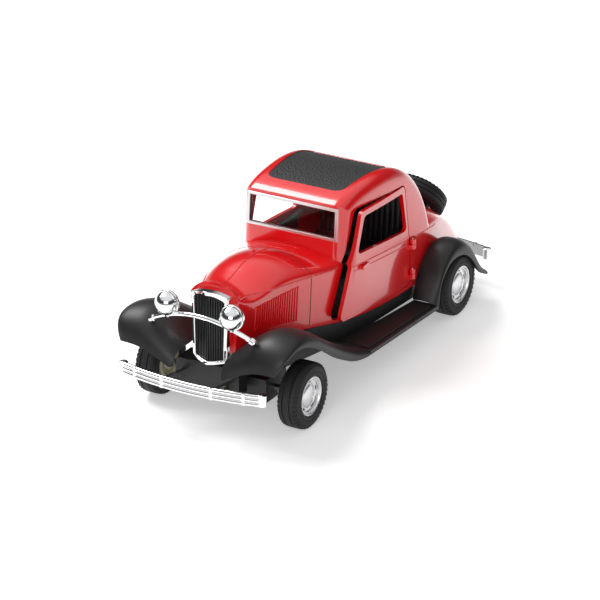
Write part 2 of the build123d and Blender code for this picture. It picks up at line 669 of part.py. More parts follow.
def wheel_disc(width=TYRE_W):
    """The bright disc: a stepped rim, a slotted web and a domed cap."""
    b = TYRE_BORE_R
    c = CAP_R
    disc = ring_x([(-0.35, b), (-width + 0.6, b), (-width + 0.6, b - 0.5), (-1.9, b - 0.5),
                   (-1.9, 0), (-0.7, 0), (-0.8, c * 0.45), (-1.05, c * 0.85), (-1.3, c),
                   (-1.3, c + 0.5), (-1.1, c + 0.9), (-0.9, b - 0.7), (-0.4, b - 0.5)])
    for i in range(SLOTS):
        turn = Rot(i * 360 / SLOTS, 0, 0)
        disc -= turn * Pos(-1.2, 0, c + 0.95) * Box(1.6, 1.5, 0.6)
    return disc


def wheel_hub(width=TYRE_W):
    """The plastic hub pressed into the back of the disc."""
    hub = Pos((-width + 0.3 - 1.9) / 2, 0, 0) * Rot(0, 90, 0) * Cylinder(HUB_R, width - 2.2)
    ring = Pos(-width + 0.8, 0, 0) * Rot(0, 90, 0) * (Cylinder(HUB_R - 0.8, 1.6) - Cylinder(2.0, 1.6))
    return hub - ring - rod_x(0, 0, AXLE_R, -width - 1, -2.4)


def axle():
    end = WHEEL_FACE_X - 2.4
    return rod_x(0, 0, AXLE_R, -end, end)


for end_name, y in (("front", FRONT_Y), ("rear", REAR_Y)):
    for side, flip in (("left", False), ("right", True)):
        for piece, make in (("tyre", tyre), ("wheel_disc", wheel_disc), ("wheel_hub", wheel_hub)):
            shape = Pos(WHEEL_FACE_X, 0, 0) * make()
            if flip:
                shape = mirrored(shape)
            put(f"{piece}_{end_name}_{side}", Pos(0, y, AXLE_Z) * shape)
put("front_axle", Pos(0, FRONT_Y, AXLE_Z) * axle())


# ---- spare wheel -------------------------------------------------------------------
SPARE_PLACE = Pos(0, *SPARE) * Rot(90 - SPARE_LEAN, 0, 0) * Rot(0, 0, 90) * Pos(SPARE_W / 2, 0, 0)
put("spare_tyre", SPARE_PLACE * tyre(SPARE_W))
put("spare_wheel", SPARE_PLACE * wheel_disc(SPARE_W))
carrier_rod = SPARE_PLACE * rod_x(0, 0, 3.6, -SPARE_W - 6.0, -1.9)
put("spare_carrier", (carrier_rod - outer).solids().sort_by(Axis.Z)[-1])


# ---- friction motor ----------------------------------------------------------------
def gear(teeth, phase, x0, width):
    """An involute spur gear about the X axis with a tooth centred on phase."""
    pitch_r = teeth * MODULE / 2
    base_r = pitch_r * math.cos(PRESSURE)
    tip_r = pitch_r + ADDENDUM
    root_r = pitch_r - ADDENDUM - 0.15
    half_pitch = math.pi / (2 * teeth) - BACKLASH / 2 / pitch_r
    involute = math.tan(PRESSURE) - PRESSURE

    def flank(r):
        if r <= base_r:
            return half_pitch + involute
        a = math.acos(base_r / r)
        return half_pitch + involute - (math.tan(a) - a)

    radii = [root_r, max(base_r, root_r + 0.02), pitch_r, pitch_r + ADDENDUM / 2, tip_r]
    points = []
    for i in range(teeth):
        middle = phase + 2 * math.pi * i / teeth
        for r in radii:
            points.append((r, middle - flank(r)))
        for r in reversed(radii):
            points.append((r, middle + flank(r)))
    outline = [(r * math.cos(a), r * math.sin(a)) for r, a in points]
    return side_slab(outline, x0, x0 + width)


def geared(at, *pieces):
    return Pos(0, *at) * sum(pieces[1:], pieces[0])


def shaft(r, x0, x1):
    return rod_x(0, 0, r, x0, x1)


MESH_ONE = IDLER_UP
MESH_TWO = FLYWHEEL_UP
PINION_HALF = math.pi / PINION_TEETH
BEARING_LEFT = CASE_LEFT - 0.1
BEARING_RIGHT = CASE_RIGHT + 0.1
put("rear_axle", Pos(0, REAR_Y, AXLE_Z) * axle())
axle_gear = gear(AXLE_TEETH, MESH_ONE, FIRST_PLANE_X, GEAR_W) - shaft(AXLE_R, -10, 10)
put("axle_gear", Pos(0, REAR_Y, AXLE_Z) * axle_gear)
idler = geared(IDLER_AT, gear(PINION_TEETH, MESH_ONE + math.pi + PINION_HALF, FIRST_PLANE_X, GEAR_W + 1.0),
               gear(IDLER_TEETH, MESH_TWO, SECOND_PLANE_X, GEAR_W))
idler_shaft = Pos(0, *IDLER_AT) * shaft(SHAFT_R, BEARING_RIGHT, BEARING_LEFT)
put("idler_gear", idler - idler_shaft)
put("idler_shaft", idler_shaft)
flywheel_shaft = Pos(0, *FLYWHEEL_AT) * shaft(SHAFT_R, BEARING_RIGHT, BEARING_LEFT)
fly_pinion = geared(FLYWHEEL_AT, gear(PINION_TEETH, MESH_TWO + math.pi + PINION_HALF,
                                      SECOND_PLANE_X, FLYWHEEL_X - SECOND_PLANE_X))
flywheel = geared(FLYWHEEL_AT, shaft(FLYWHEEL_R, FLYWHEEL_X, FLYWHEEL_X + FLYWHEEL_W))
put("flywheel_pinion", fly_pinion - flywheel_shaft)
put("flywheel", flywheel - flywheel_shaft)
put("flywheel_shaft", flywheel_shaft)


def motor_case():
    """An open-topped tray with bearings for the three shafts."""
    case = block(CASE_RIGHT, CASE_LEFT, CASE_FRONT, CASE_REAR, CASE_BOTTOM, CASE_TOP)
    # the floor steps up ahead of the axle gear, clear of the ground
    case -= block(CASE_RIGHT + CASE_WALL, CASE_LEFT - CASE_WALL, CASE_FRONT + CASE_WALL,
                  CASE_REAR - CASE_WALL, CASE_BOTTOM + CASE_WALL, CASE_TOP + 1)
    for at, r in (((REAR_Y, AXLE_Z), AXLE_R), (IDLER_AT, SHAFT_R), (FLYWHEEL_AT, SHAFT_R)):
        case -= rod_x(*at, r + RUNNING_FIT, -20, 20)
    return case


put("motor_case", motor_case())
put("motor_lid", block(CASE_RIGHT, CASE_LEFT, CASE_FRONT, CASE_REAR, CASE_TOP, CASE_TOP + CASE_WALL))


# ---- cabin fittings ----------------------------------------------------------------
def windscreen_frame():
    middle = SCREEN_DEPTH / 2 - SCREEN_PROUD
    ring = Box(2 * SCREEN_HALF, SCREEN_DEPTH, SCREEN_H)
    ring -= Box(2 * (SCREEN_HALF - SCREEN_BAR), 3 * SCREEN_DEPTH, SCREEN_H - 2 * SCREEN_BAR)
    return SCREEN_PLACE * Pos(0, middle, 0) * ring


def windscreen_glass():
    pane = Box(2 * (SCREEN_HALF - SCREEN_BAR), GLASS_T, SCREEN_H - 2 * SCREEN_BAR)
    return SCREEN_PLACE * Pos(0, GLASS_T / 2, 0) * pane


def interior_tub():
    """The cabin floor with its raised seat box over the motor."""
    floor = block(-FLOOR_HALF, FLOOR_HALF, -10.4, 14.0, FLOOR_Z, FLOOR_Z + 1)
    riser = block(-FLOOR_HALF, FLOOR_HALF, 13.0, 14.0, FLOOR_Z, RISER_Z + 1)
    deck = block(-FLOOR_HALF, FLOOR_HALF, 13.0, 33.0, RISER_Z, RISER_Z + 1)
    return floor + riser + deck


def bench_seat():
    cushion = block(-FLOOR_HALF + 0.4, FLOOR_HALF - 0.4, 14.6, 26.0, RISER_Z + 1, RISER_Z + 4.0)
    return fillet(cushion.edges().filter_by(Axis.X), 1.2)


def seat_back():
    outline = [(26.2, RISER_Z + 1), (29.4, RISER_Z + 1), (30.6, 35.2), (27.6, 36.0)]
    back = side_slab(outline, -FLOOR_HALF, FLOOR_HALF)
    return fillet(back.edges().filter_by(Axis.X).sort_by(Axis.Z)[-2:], 1.3)


def dashboard():
    """The panel across the cabin, its ends following the body sides."""
    panel = block(-20, 20, *DASH_Y, *DASH_Z)
    panel += block(-20, 20, DASH_Y[0], DASH_Y[1] + DASH_LIP, DASH_Z[1] - DASH_LIP, DASH_Z[1])
    return panel & lower_body(inset=WALL + FACE_GAP, first=1, last=6)


def steering_wheel():
    place = Pos(5.8, -2.6, 30.6) * Rot(-78, 0, 0)
    rim = Torus(3.6, 0.45)
    spokes = Box(7.0, 0.6, 0.5) + Box(0.6, 7.0, 0.5)
    column = Pos(0, 0, -4.0) * Cylinder(0.6, 8.4)
    wheel = place * (rim + spokes + column + Cylinder(1.0, 0.8))
    return wheel - dash


put("windscreen_frame", windscreen_frame())
put("windscreen_glass", windscreen_glass())
put("rear_window_glass", block(-6.4, 6.4, 31.2, 31.7, 32.3, 37.1) & outer)
put("interior_tub", interior_tub())
put("bench_seat", bench_seat())
put("seat_back", seat_back())
dash = dashboard()
put("dashboard", dash)
put("steering_wheel", steering_wheel())
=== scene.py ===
"""The looks of a small friction-drive toy coupe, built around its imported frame."""
import json
import math
import bmesh
import bpy
from bpy.props import FloatProperty, FloatVectorProperty, IntProperty, PointerProperty
from mathutils import Matrix, Vector
from mathutils.bvhtree import BVHTree

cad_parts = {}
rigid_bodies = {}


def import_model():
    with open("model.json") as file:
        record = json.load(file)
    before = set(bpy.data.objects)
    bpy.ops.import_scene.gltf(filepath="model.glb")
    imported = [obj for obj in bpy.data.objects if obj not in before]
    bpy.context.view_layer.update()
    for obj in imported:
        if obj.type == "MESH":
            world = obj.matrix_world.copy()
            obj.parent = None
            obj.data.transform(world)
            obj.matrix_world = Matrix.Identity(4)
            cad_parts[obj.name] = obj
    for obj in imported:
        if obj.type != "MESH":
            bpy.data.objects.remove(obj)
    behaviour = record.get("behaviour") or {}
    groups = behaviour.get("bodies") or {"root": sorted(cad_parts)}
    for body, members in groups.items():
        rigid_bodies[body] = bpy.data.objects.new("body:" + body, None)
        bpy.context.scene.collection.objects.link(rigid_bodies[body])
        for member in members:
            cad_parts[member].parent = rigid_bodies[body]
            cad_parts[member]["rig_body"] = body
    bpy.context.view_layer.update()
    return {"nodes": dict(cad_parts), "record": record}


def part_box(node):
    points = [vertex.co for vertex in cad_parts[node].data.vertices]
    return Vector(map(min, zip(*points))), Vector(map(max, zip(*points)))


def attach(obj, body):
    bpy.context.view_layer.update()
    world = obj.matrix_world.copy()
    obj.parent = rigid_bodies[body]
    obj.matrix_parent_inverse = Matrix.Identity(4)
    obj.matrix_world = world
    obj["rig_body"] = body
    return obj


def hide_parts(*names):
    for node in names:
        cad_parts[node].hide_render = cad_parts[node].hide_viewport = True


bl_info = {
    "name": "Toy Coupe Looks",
    "version": (1, 0, 0),
    "blender": (4, 5, 0),
    "location": "3D View > Sidebar > Toy Coupe",
    "description": "Enamel, plating, rubber and trim for a small friction-drive toy coupe",
    "category": "Object",
}

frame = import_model()
NODES = frame["nodes"]
MM = 0.001
SIDES = (("left", 1), ("right", -1))
CORNERS = [(end, side, sign) for end in ("front", "rear") for side, sign in SIDES]


def middle(node):
    low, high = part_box(node)
    return (low + high) / 2


FRONT_AXLE = middle("front_axle")
REAR_AXLE = middle("rear_axle")
BASE_Y = (FRONT_AXLE.y + REAR_AXLE.y) / 2
TYRE_LOW, TYRE_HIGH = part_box("tyre_front_left")
TYRE_R = (TYRE_HIGH.z - TYRE_LOW.z) / 2
TYRE_W = TYRE_HIGH.x - TYRE_LOW.x
TYRE_FACE = TYRE_HIGH.x
ABOVE_ALL = 80
BESIDE_ALL = 40
PAST_MIDDLE = 3


def spot(x, y, z):
    """A place in millimetres, with y from the middle of the wheelbase, as a point in metres."""
    return Vector((x * MM, BASE_Y + y * MM, z * MM))


# ---- mesh helpers ------------------------------------------------------------------

def finish_piece(name, bm, materials, body, replaces=(), crease=38):
    """Turn a finished bmesh into a smooth-shaded piece that rides on a body."""
    for face in bm.faces:
        face.smooth = True
    limit = math.radians(crease)
    for edge in bm.edges:
        edge.smooth = len(edge.link_faces) == 2 and edge.calc_face_angle(math.pi) < limit
    mesh = bpy.data.meshes.new(name)
    bm.to_mesh(mesh)
    bm.free()
    piece = bpy.data.objects.new(name, mesh)
    bpy.context.scene.collection.objects.link(piece)
    for material in materials:
        mesh.materials.append(material)
    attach(piece, body)
    if replaces:
        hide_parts(*replaces)
    return piece


def frame_copy(*nodes):
    """A welded copy of one or more frame nodes."""
    bm = bmesh.new()
    for node in nodes:
        bm.from_mesh(NODES[node].data)
    bmesh.ops.remove_doubles(bm, verts=bm.verts, dist=0.004 * MM)
    bmesh.ops.dissolve_degenerate(bm, edges=bm.edges, dist=0.002 * MM)
    for face in bm.faces:
        face.material_index = 0
    return bm


def joined(parts):
    """One bmesh from several, which are freed."""
    whole = bmesh.new()
    holder = bpy.data.meshes.new("holder")
    for part in parts:
        part.to_mesh(holder)
        part.free()
        whole.from_mesh(holder)
    bpy.data.meshes.remove(holder)
    return whole


def loop_of(bm, points, closed=True):
    verts = [bm.verts.new(p) for p in points]
    pairs = list(zip(verts, verts[1:]))
    if closed:
        pairs.append((verts[-1], verts[0]))
    edges = [bm.edges.new(pair) for pair in pairs]
    return verts, edges


def spun(profile, steps, closed=False, sweep=2 * math.pi):
    """Turn (along, radius) points in millimetres round the X axis."""
    bm = bmesh.new()
    verts, edges = loop_of(bm, [Vector((x * MM, 0, r * MM)) for x, r in profile], closed)
    bmesh.ops.spin(bm, geom=verts + edges, axis=(1, 0, 0), cent=(0, 0, 0), steps=steps,
                   angle=sweep, use_merge=True)
    bmesh.ops.remove_doubles(bm, verts=bm.verts, dist=0.002 * MM)
    bmesh.ops.recalc_face_normals(bm, faces=bm.faces)
    return bm


def brick(size, place, bevel=0.1, turn=None):
    """A softened box of size millimetres about a point in metres."""
    bm = bmesh.new()
    bmesh.ops.create_cube(bm, size=1)
    bmesh.ops.scale(bm, vec=Vector(size) * MM, verts=bm.verts)
    bmesh.ops.bevel(bm, geom=bm.edges[:], offset=bevel * MM, segments=2, profile=0.5,
                    affect='EDGES', material=-1)
    if turn is not None:
        bmesh.ops.transform(bm, matrix=turn, verts=bm.verts)
    bmesh.ops.translate(bm, vec=place, verts=bm.verts)
    return bm


def tube(points, radius, rounds=3, closed=False):
    """A round bead of radius millimetres through points in metres."""
    curve = bpy.data.curves.new("bead", 'CURVE')
    curve.dimensions = '3D'
    curve.bevel_depth = radius * MM
    curve.bevel_resolution = rounds
    curve.resolution_u = 3
    curve.use_fill_caps = True
    spline = curve.splines.new('POLY')
    spline.points.add(len(points) - 1)
    for point, place in zip(spline.points, points):
        point.co = (*place, 1)
    spline.use_cyclic_u = closed
    holder = bpy.data.objects.new("bead", curve)
    mesh = bpy.data.meshes.new_from_object(holder)
    bm = bmesh.new()
    bm.from_mesh(mesh)
    bpy.data.objects.remove(holder)
    bpy.data.curves.remove(curve)
    bpy.data.meshes.remove(mesh)
    bmesh.ops.recalc_face_normals(bm, faces=bm.faces)
    for face in bm.faces:
        face.material_index = 0
    return bm


def mirror_x(bm):
    """Flip a bmesh to the other side of the car, keeping its faces outward."""
    bmesh.ops.scale(bm, vec=(-1, 1, 1), verts=bm.verts)
    bmesh.ops.reverse_faces(bm, faces=bm.faces)
    return bm


def tree_of(*nodes):
    bm = frame_copy(*nodes)
    tree = BVHTree.FromBMesh(bm)
    bm.free()
    return tree


def side_point(tree, sign, y, z, lift=0.0):
    """The point on a side of the car at y, z millimetres, stood off by lift."""
    place, normal, _, _ = tree.ray_cast(spot(sign * BESIDE_ALL, y, z), Vector((-sign, 0, 0)))
    if place is None:
        raise RuntimeError(f"nothing at side {sign} y {y} z {z}")
    return place + normal * lift * MM


def side_run(tree, sign, line, count, lift=0.0):
    """Points along a side of the car, leaving out places past the end of the panel."""
    points = []
    for y, z in between(line, count):
        place, normal, _, _ = tree.ray_cast(spot(sign * BESIDE_ALL, y, z), Vector((-sign, 0, 0)))
        if place is not None and abs(place.x) > PAST_MIDDLE * MM:
            points.append(place + normal * lift * MM)
    if len(points) < count * 0.6:
        raise RuntimeError(f"only {len(points)} of {count} points found along {line}")
    return points


def top_point(tree, x, y, lift=0.0):
    place, normal, _, _ = tree.ray_cast(spot(x, y, ABOVE_ALL), Vector((0, 0, -1)))
    if place is None:
        raise RuntimeError(f"nothing on top at x {x} y {y}")
    return place + normal * lift * MM


def between(points, count):
    """Points spaced along a polyline of plain tuples."""
    steps = [math.dist(a, b) for a, b in zip(points, points[1:])]
    total = sum(steps)
    out = []
    for i in range(count):
        left = total * i / (count - 1)
        for (a, b), step in zip(zip(points, points[1:]), steps):
            if left <= step + 1e-9:
                share = left / step if step else 0
                out.append(tuple(p + (q - p) * share for p, q in zip(a, b)))
                break
            left -= step
        else:
            out.append(points[-1])
    return out


def rounded(points, count, passes=3):
    """A polyline eased into a curve: resampled, then relaxed with its ends held."""
    line = between(points, count)
    for _ in range(passes):
        line = [line[0]] + [tuple((a + 2 * b + c) / 4 for a, b, c in zip(*trio))
                            for trio in zip(line, line[1:], line[2:])] + [line[-1]]
    return line


# ---- materials ---------------------------------------------------------------------

def material(name, colour, rough, metal=0.0, coat=0.0, grain=900.0, depth=0.0, shade=0.06,
             rough_spread=0.08, specular=0.5):
    """A surface whose tone, gloss and relief vary with a fine noise."""
    mat = bpy.data.materials.new(name)
    mat.use_nodes = True
    nodes, links = mat.node_tree.nodes, mat.node_tree.links
    bsdf = nodes["Principled BSDF"]
    bsdf.inputs["Metallic"].default_value = metal
    bsdf.inputs["Coat Weight"].default_value = coat
    bsdf.inputs["Coat Roughness"].default_value = 0.04
    bsdf.inputs["Specular IOR Level"].default_value = specular
    coords = nodes.new("ShaderNodeTexCoord")
    fine = nodes.new("ShaderNodeTexNoise")
    fine.inputs["Scale"].default_value = grain
    fine.inputs["Detail"].default_value = 4
    broad = nodes.new("ShaderNodeTexNoise")
    broad.inputs["Scale"].default_value = grain / 14
    broad.inputs["Detail"].default_value = 3
    for noise in (fine, broad):
        links.new(coords.outputs["Object"], noise.inputs["Vector"])
    tone = nodes.new("ShaderNodeValToRGB")
    tone.color_ramp.elements[0].position = 0.3
    tone.color_ramp.elements[1].position = 0.7
    tone.color_ramp.elements[0].color = (*[c * (1 - shade) for c in colour], 1)
    tone.color_ramp.elements[1].color = (*[min(1, c * (1 + shade)) for c in colour], 1)
    links.new(broad.outputs["Fac"], tone.inputs["Fac"])
    links.new(tone.outputs["Color"], bsdf.inputs["Base Color"])
    gloss = nodes.new("ShaderNodeMapRange")
    gloss.inputs["To Min"].default_value = max(0.0, rough * (1 - rough_spread))
    gloss.inputs["To Max"].default_value = rough * (1 + rough_spread)
    links.new(fine.outputs["Fac"], gloss.inputs["Value"])
    links.new(gloss.outputs["Result"], bsdf.inputs["Roughness"])
    if depth:
        bump = nodes.new("ShaderNodeBump")
        bump.inputs["Strength"].default_value = 0.6
        bump.inputs["Distance"].default_value = depth * MM
        links.new(fine.outputs["Fac"], bump.inputs["Height"])
        links.new(bump.outputs["Normal"], bsdf.inputs["Normal"])
    return mat


def pebbled(name, colour, rough, cell, depth):
    """Moulded leather-like grain: rounded pebbles in a net of fine creases."""
    mat = material(name, colour, rough, grain=700)
    nodes, links = mat.node_tree.nodes, mat.node_tree.links
    bsdf = nodes["Principled BSDF"]
    coords = next(n for n in nodes if n.type == 'TEX_COORD')
    pebble = nodes.new("ShaderNodeTexVoronoi")
    pebble.feature = 'SMOOTH_F1'
    pebble.inputs["Scale"].default_value = 1 / (cell * MM)
    pebble.inputs["Smoothness"].default_value = 0.4
    links.new(coords.outputs["Object"], pebble.inputs["Vector"])
    bump = nodes.new("ShaderNodeBump")
    bump.invert = True
    bump.inputs["Strength"].default_value = 1.0
    bump.inputs["Distance"].default_value = depth * MM
    links.new(pebble.outputs["Distance"], bump.inputs["Height"])
    links.new(bump.outputs["Normal"], bsdf.inputs["Normal"])
    return mat


def clear_glass(name, tint, rough):
    mat = material(name, tint, rough, shade=0.01)
    bsdf = mat.node_tree.nodes["Principled BSDF"]
    bsdf.inputs["Transmission Weight"].default_value = 1.0
    bsdf.inputs["IOR"].default_value = 1.2
    return mat


FINISH = {}


def mix_finishes(settings):
    """All finishes, by the record's slot name or their own."""
    FINISH.update(
        red_paint=material("red_enamel", settings.red, 0.22, coat=1.0, grain=600, depth=0.004,
                           shade=0.03),
        black_satin=material("satin_black", settings.black, 0.42, grain=2600, depth=0.012,
                             shade=0.2, specular=0.4),
        roof_grain=pebbled("grained_black", settings.black, 0.55, 0.55, 0.16),
        chrome=material("bright_plating", (0.9, 0.9, 0.91), 0.07, metal=1.0, grain=500,
                        depth=0.003, shade=0.02),
        silver=material("silver_paint", (0.74, 0.74, 0.75), 0.3, metal=0.9, grain=2400,
                        depth=0.006, shade=0.04),
        glass=clear_glass("clear_glazing", (0.96, 0.98, 0.98), 0.02),
        # black of the tyres' rubber, also used to paint the wheel slot floors black as painted
        # shade
        rubber=material("black_rubber_and_slot_shade", (0.016, 0.016, 0.017), 0.62, grain=1800, depth=0.03,
                        shade=0.25, specular=0.35),
        steel=material("turned_steel", (0.62, 0.62, 0.63), 0.25, metal=1.0, grain=2000,
                       depth=0.006),
        hub_cream=material("cream_plastic", (0.62, 0.59, 0.42), 0.45, grain=1500, depth=0.01),
        gear_white=material("gear_plastic", (0.8, 0.8, 0.76), 0.4, grain=1500, depth=0.01),
        cast_iron=material("cast_flywheel", (0.2, 0.2, 0.21), 0.5, metal=0.8, grain=1600,
                           depth=0.03),
        # near-black red painted as the shade inside the pressed grooves of the red casting
        groove=material("groove_shade_red", (0.02, 0.002, 0.002), 0.5, grain=900, depth=0.005),
    )


class ToyCoupeFinish(bpy.types.PropertyGroup):
    """Colours of the toy"""
    red: FloatVectorProperty(name="Enamel red", description="Colour of the painted body",
                             subtype='COLOR', size=3, default=(0.8, 0.004, 0.007))
    black: FloatVectorProperty(name="Plastic black", description="Colour of fenders and chassis",
                               subtype='COLOR', size=3, default=(0.012, 0.012, 0.013))


class ToyCoupeTyres(bpy.types.PropertyGroup):
    """Tread of the tyres"""
    lugs: IntProperty(name="Shoulder lugs", description="Number of lugs round each shoulder",
                      default=40, min=12, max=90)
    lug_height: FloatProperty(name="Lug height", description="How far a lug stands out, in mm",
                              default=0.32, min=0.05, max=0.6)


class ToyCoupeTrim(bpy.types.PropertyGroup):
    """Small relief on the body"""
    bead: FloatProperty(name="Bead radius", description="Radius of the raised beads, in mm",
                        default=0.26, min=0.1, max=0.5)
    louvres: IntProperty(name="Hood louvres", description="Number of louvres on each hood side",
                         default=19, min=4, max=30)
    pleats: IntProperty(name="Seat pleats", description="Number of pleats across the seat back",
                        default=15, min=4, max=30)


class ToyCoupeStage(bpy.types.PropertyGroup):
    """Camera and light"""
    azimuth: FloatProperty(name="Azimuth", description="Camera turn round the car, in degrees",
                           default=29.8)
    elevation: FloatProperty(name="Elevation", description="Camera height angle, in degrees",
                             default=23.93)
    distance: FloatProperty(name="Distance", description="Camera distance", unit='LENGTH',
                            default=1.0)
    lens: FloatProperty(name="Lens", description="Focal length, in mm", default=235.1)
    key: FloatProperty(name="Key light", description="Power of the main lamp, in W", default=5.0)
    sky: FloatProperty(name="Sky", description="Strength of the surrounding light", default=0.4)


# ---- body --------------------------------------------------------------------------
CREASE = [(-46.3, 33.6), (-34.0, 32.6), (-20.5, 31.3)]
BELT_FRONT = [(-19.5, 31.2), (-9.6, 30.0)]
BELT_REAR = [(23.6, 26.6), (30.0, 25.9), (38.0, 24.8)]
COWL_SEAM = -20.8
LOUVRE_FRONT = -41.5
LOUVRE_REAR = -25.6
LOUVRE_TOP = 30.2
LOUVRE_LOW = 20.8
LOUVRE_RISE = 3.0
LOUVRE_R = 0.27
HINGE_FRONT = -46.0
HINGE_LENGTH = 25.0
HINGE_DASHES = 17
DASH_STEP = 0.36
VENT = [(-3.4, -17.4), (3.4, -17.4), (3.9, -12.2), (-3.9, -12.2), (-3.4, -17.4)]
PANEL_RIM_R = 0.4
PANEL_RIM_GAP = 0.25
PANEL_FRONT_HALF = 11.35
PANEL_REAR_HALF = 12.75
PANEL_CORNER = 2.6
PANEL_SINK = 0.2
SEAM_R = 0.14
NOTCH_R = 0.1
LID_R = 0.12
LID_FRONT = 37.5
LID_EDGE = [(-9.0, LID_FRONT), (-8.6, 46.0), (-7.8, 51.0)]


def body_beads(tree, trim):
    """Raised beads: hood hinge, hood creases, belt, cowl vent."""
    bead = trim.bead
    parts = []
    for i in range(HINGE_DASHES):
        y = HINGE_FRONT + i * HINGE_LENGTH / HINGE_DASHES
        ends = [top_point(tree, 0, y + step * DASH_STEP, -bead * 0.35) for step in range(4)]
        parts.append(tube(ends, bead))
    for _, sign in SIDES:
        for line in (CREASE, BELT_FRONT, BELT_REAR):
            parts.append(tube(side_run(tree, sign, line, 14, -bead * 0.4), bead))
    points = [top_point(tree, x, y, -bead * 0.6) for x, y in between(VENT, 41)]
    parts.append(tube(points[:-1], bead * 0.8, closed=True))
    return parts


def insert_bead(tree):
    """The rim that holds the roof panel."""
    low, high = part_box("roof_insert")
    front = (low.y - BASE_Y) / MM - PANEL_RIM_GAP
    rear = (high.y - BASE_Y) / MM + PANEL_RIM_GAP
    corner = PANEL_CORNER
    corners = [(PANEL_FRONT_HALF, front, -1, 1), (PANEL_REAR_HALF, rear, -1, -1),
               (-PANEL_REAR_HALF, rear, 1, -1), (-PANEL_FRONT_HALF, front, 1, 1)]
    outline = []
    for i, (x, y, inward_x, inward_y) in enumerate(corners):
        centre_x, centre_y = x + inward_x * corner, y + inward_y * corner
        start = (-math.pi / 2, 0, math.pi / 2, math.pi)[i]
        for step in range(7):
            turn = start + math.pi / 2 * step / 6
            outline.append((centre_x + corner * math.cos(turn), centre_y + corner * math.sin(turn)))
    outline.append(outline[0])
    points = [top_point(tree, x, y, -PANEL_RIM_R) for x, y in between(outline, 121)]
    return tube(points[:-1], PANEL_RIM_R, closed=True)


def louvres(tree, trim):
    parts = []
    for _, sign in SIDES:
        for i in range(trim.louvres):
            share = i / (trim.louvres - 1)
            y = LOUVRE_FRONT + (LOUVRE_REAR - LOUVRE_FRONT) * share
            low = LOUVRE_LOW + LOUVRE_RISE * (1 - share)
            points = [side_point(tree, sign, y, low + (LOUVRE_TOP - low) * step / 5, 0.02)
                      for step in range(6)]
            parts.append(tube(points, LOUVRE_R))
    return parts


def body_grooves(tree):
    """Near-black red lines along the panel joints pressed into the casting, painted as the shade
    inside their grooves: hood seam, quarter notch, rear deck lid.
    """
    parts = []
    for _, sign in SIDES:
        seam = [(COWL_SEAM, 18), (COWL_SEAM, 32.5)]
        parts.append(tube(side_run(tree, sign, seam, 15, -0.06), SEAM_R))
        notch = [(24.6, 14), (24.8, 25)]
        parts.append(tube(side_run(tree, sign, notch, 9, -0.05), NOTCH_R))
    over = [top_point(tree, 12.0 * math.sin(math.pi / 2 * step / 10), COWL_SEAM, -0.06)
            for step in range(-10, 11)]
    parts.append(tube(over, SEAM_R))
    for sign in (-1, 1):
        points = [top_point(tree, -sign * x, y, -0.05) for x, y in between(LID_EDGE, 12)]
        parts.append(tube(points, LID_R))
    across = [top_point(tree, x * 1.5, LID_FRONT, -0.05) for x in range(-6, 7)]
    parts.append(tube(across, LID_R))
    return parts


class TOYCOUPE_OT_body(bpy.types.Operator):
    """Red body shell with its beads, louvres and the painted shade of its joints"""
    bl_idname = "toycoupe.body"
    bl_label = "Body Shell"

    def execute(self, context):
        trim = context.scene.toycoupe_trim
        tree = tree_of("body_shell", "roof_insert")
        finish_piece("enamelled_shell", frame_copy("body_shell"), [FINISH["red_paint"]], "root",
                     ["body_shell"], crease=32)
        parts = body_beads(tree, trim) + louvres(tree, trim) + [insert_bead(tree)]
        finish_piece("shell_beads", joined(parts), [FINISH["red_paint"]], "root")
        # the joint lines are near-black red, painted shade for the inside of the pressed grooves
        finish_piece("panel_groove_shade", joined(body_grooves(tree)), [FINISH["groove"]], "root")
        panel = frame_copy("roof_insert")
        bmesh.ops.translate(panel, vec=(0, 0, -PANEL_SINK * MM), verts=panel.verts)
        finish_piece("grained_roof_panel", panel, [FINISH["roof_grain"]], "root",
                     ["roof_insert"])
        return {'FINISHED'}


class TOYCOUPE_OT_doors(bpy.types.Operator):
    """Doors with a doubled belt bead and inner panel"""
    bl_idname = "toycoupe.doors"
    bl_label = "Doors"

    def execute(self, context):
        bead = context.scene.toycoupe_trim.bead
        for side, sign in SIDES:
            node = f"door_{side}"
            tree = tree_of(node)
            finish_piece(f"enamelled_{node}", frame_copy(node), [FINISH["red_paint"]], node,
                         [node], crease=32)
            parts = []
            for drop in (0.0, 1.3):
                belt = [(-7.4, 30.0 - drop), (21.4, 26.9 - drop)]
                parts.append(tube(side_run(tree, sign, belt, 24, -bead * 0.4), bead * 0.85))
            finish_piece(f"door_beads_{side}", joined(parts), [FINISH["red_paint"]], node)
            trim_node = f"door_trim_{side}"
            finish_piece(f"inner_panel_{side}", frame_copy(trim_node), [FINISH["black_satin"]],
                         node, [trim_node])
        return {'FINISHED'}


# ---- fenders -----------------------------------------------------------------------
FRONT_CREST = [(-56.6, 20.2), (-56.0, 24.0), (-52.5, 27.2), (-47.0, 28.4), (-41.0, 27.0),
               (-35.0, 23.8), (-26.2, 17.8), (-18.5, 13.2), (-12.0, 10.9)]
FRONT_LIP = [(-55.8, 20.0), (-54.8, 23.0), (-51.5, 25.3), (-45.4, 24.7), (-37.8, 21.0),
             (-29.1, 14.8), (-20.6, 10.6), (-15.0, 9.3), (-12.0, 9.1)]
REAR_CREST = [(22.6, 9.8), (24.9, 14.8), (28.2, 19.6), (33.4, 22.3), (39.5, 21.8),
              (44.4, 18.9), (48.2, 13.6), (50.6, 9.8), (52.9, 8.4)]
REAR_LIP = [(24.4, 7.6), (25.6, 14.3), (29.6, 18.0), (33.6, 18.9), (38.9, 17.9),
            (42.6, 15.4), (45.4, 12.0), (48.0, 8.8), (52.0, 7.1)]
APRON_X = 17.0
APRON_INNER = 6.2
APRON_CURVE = 1.25
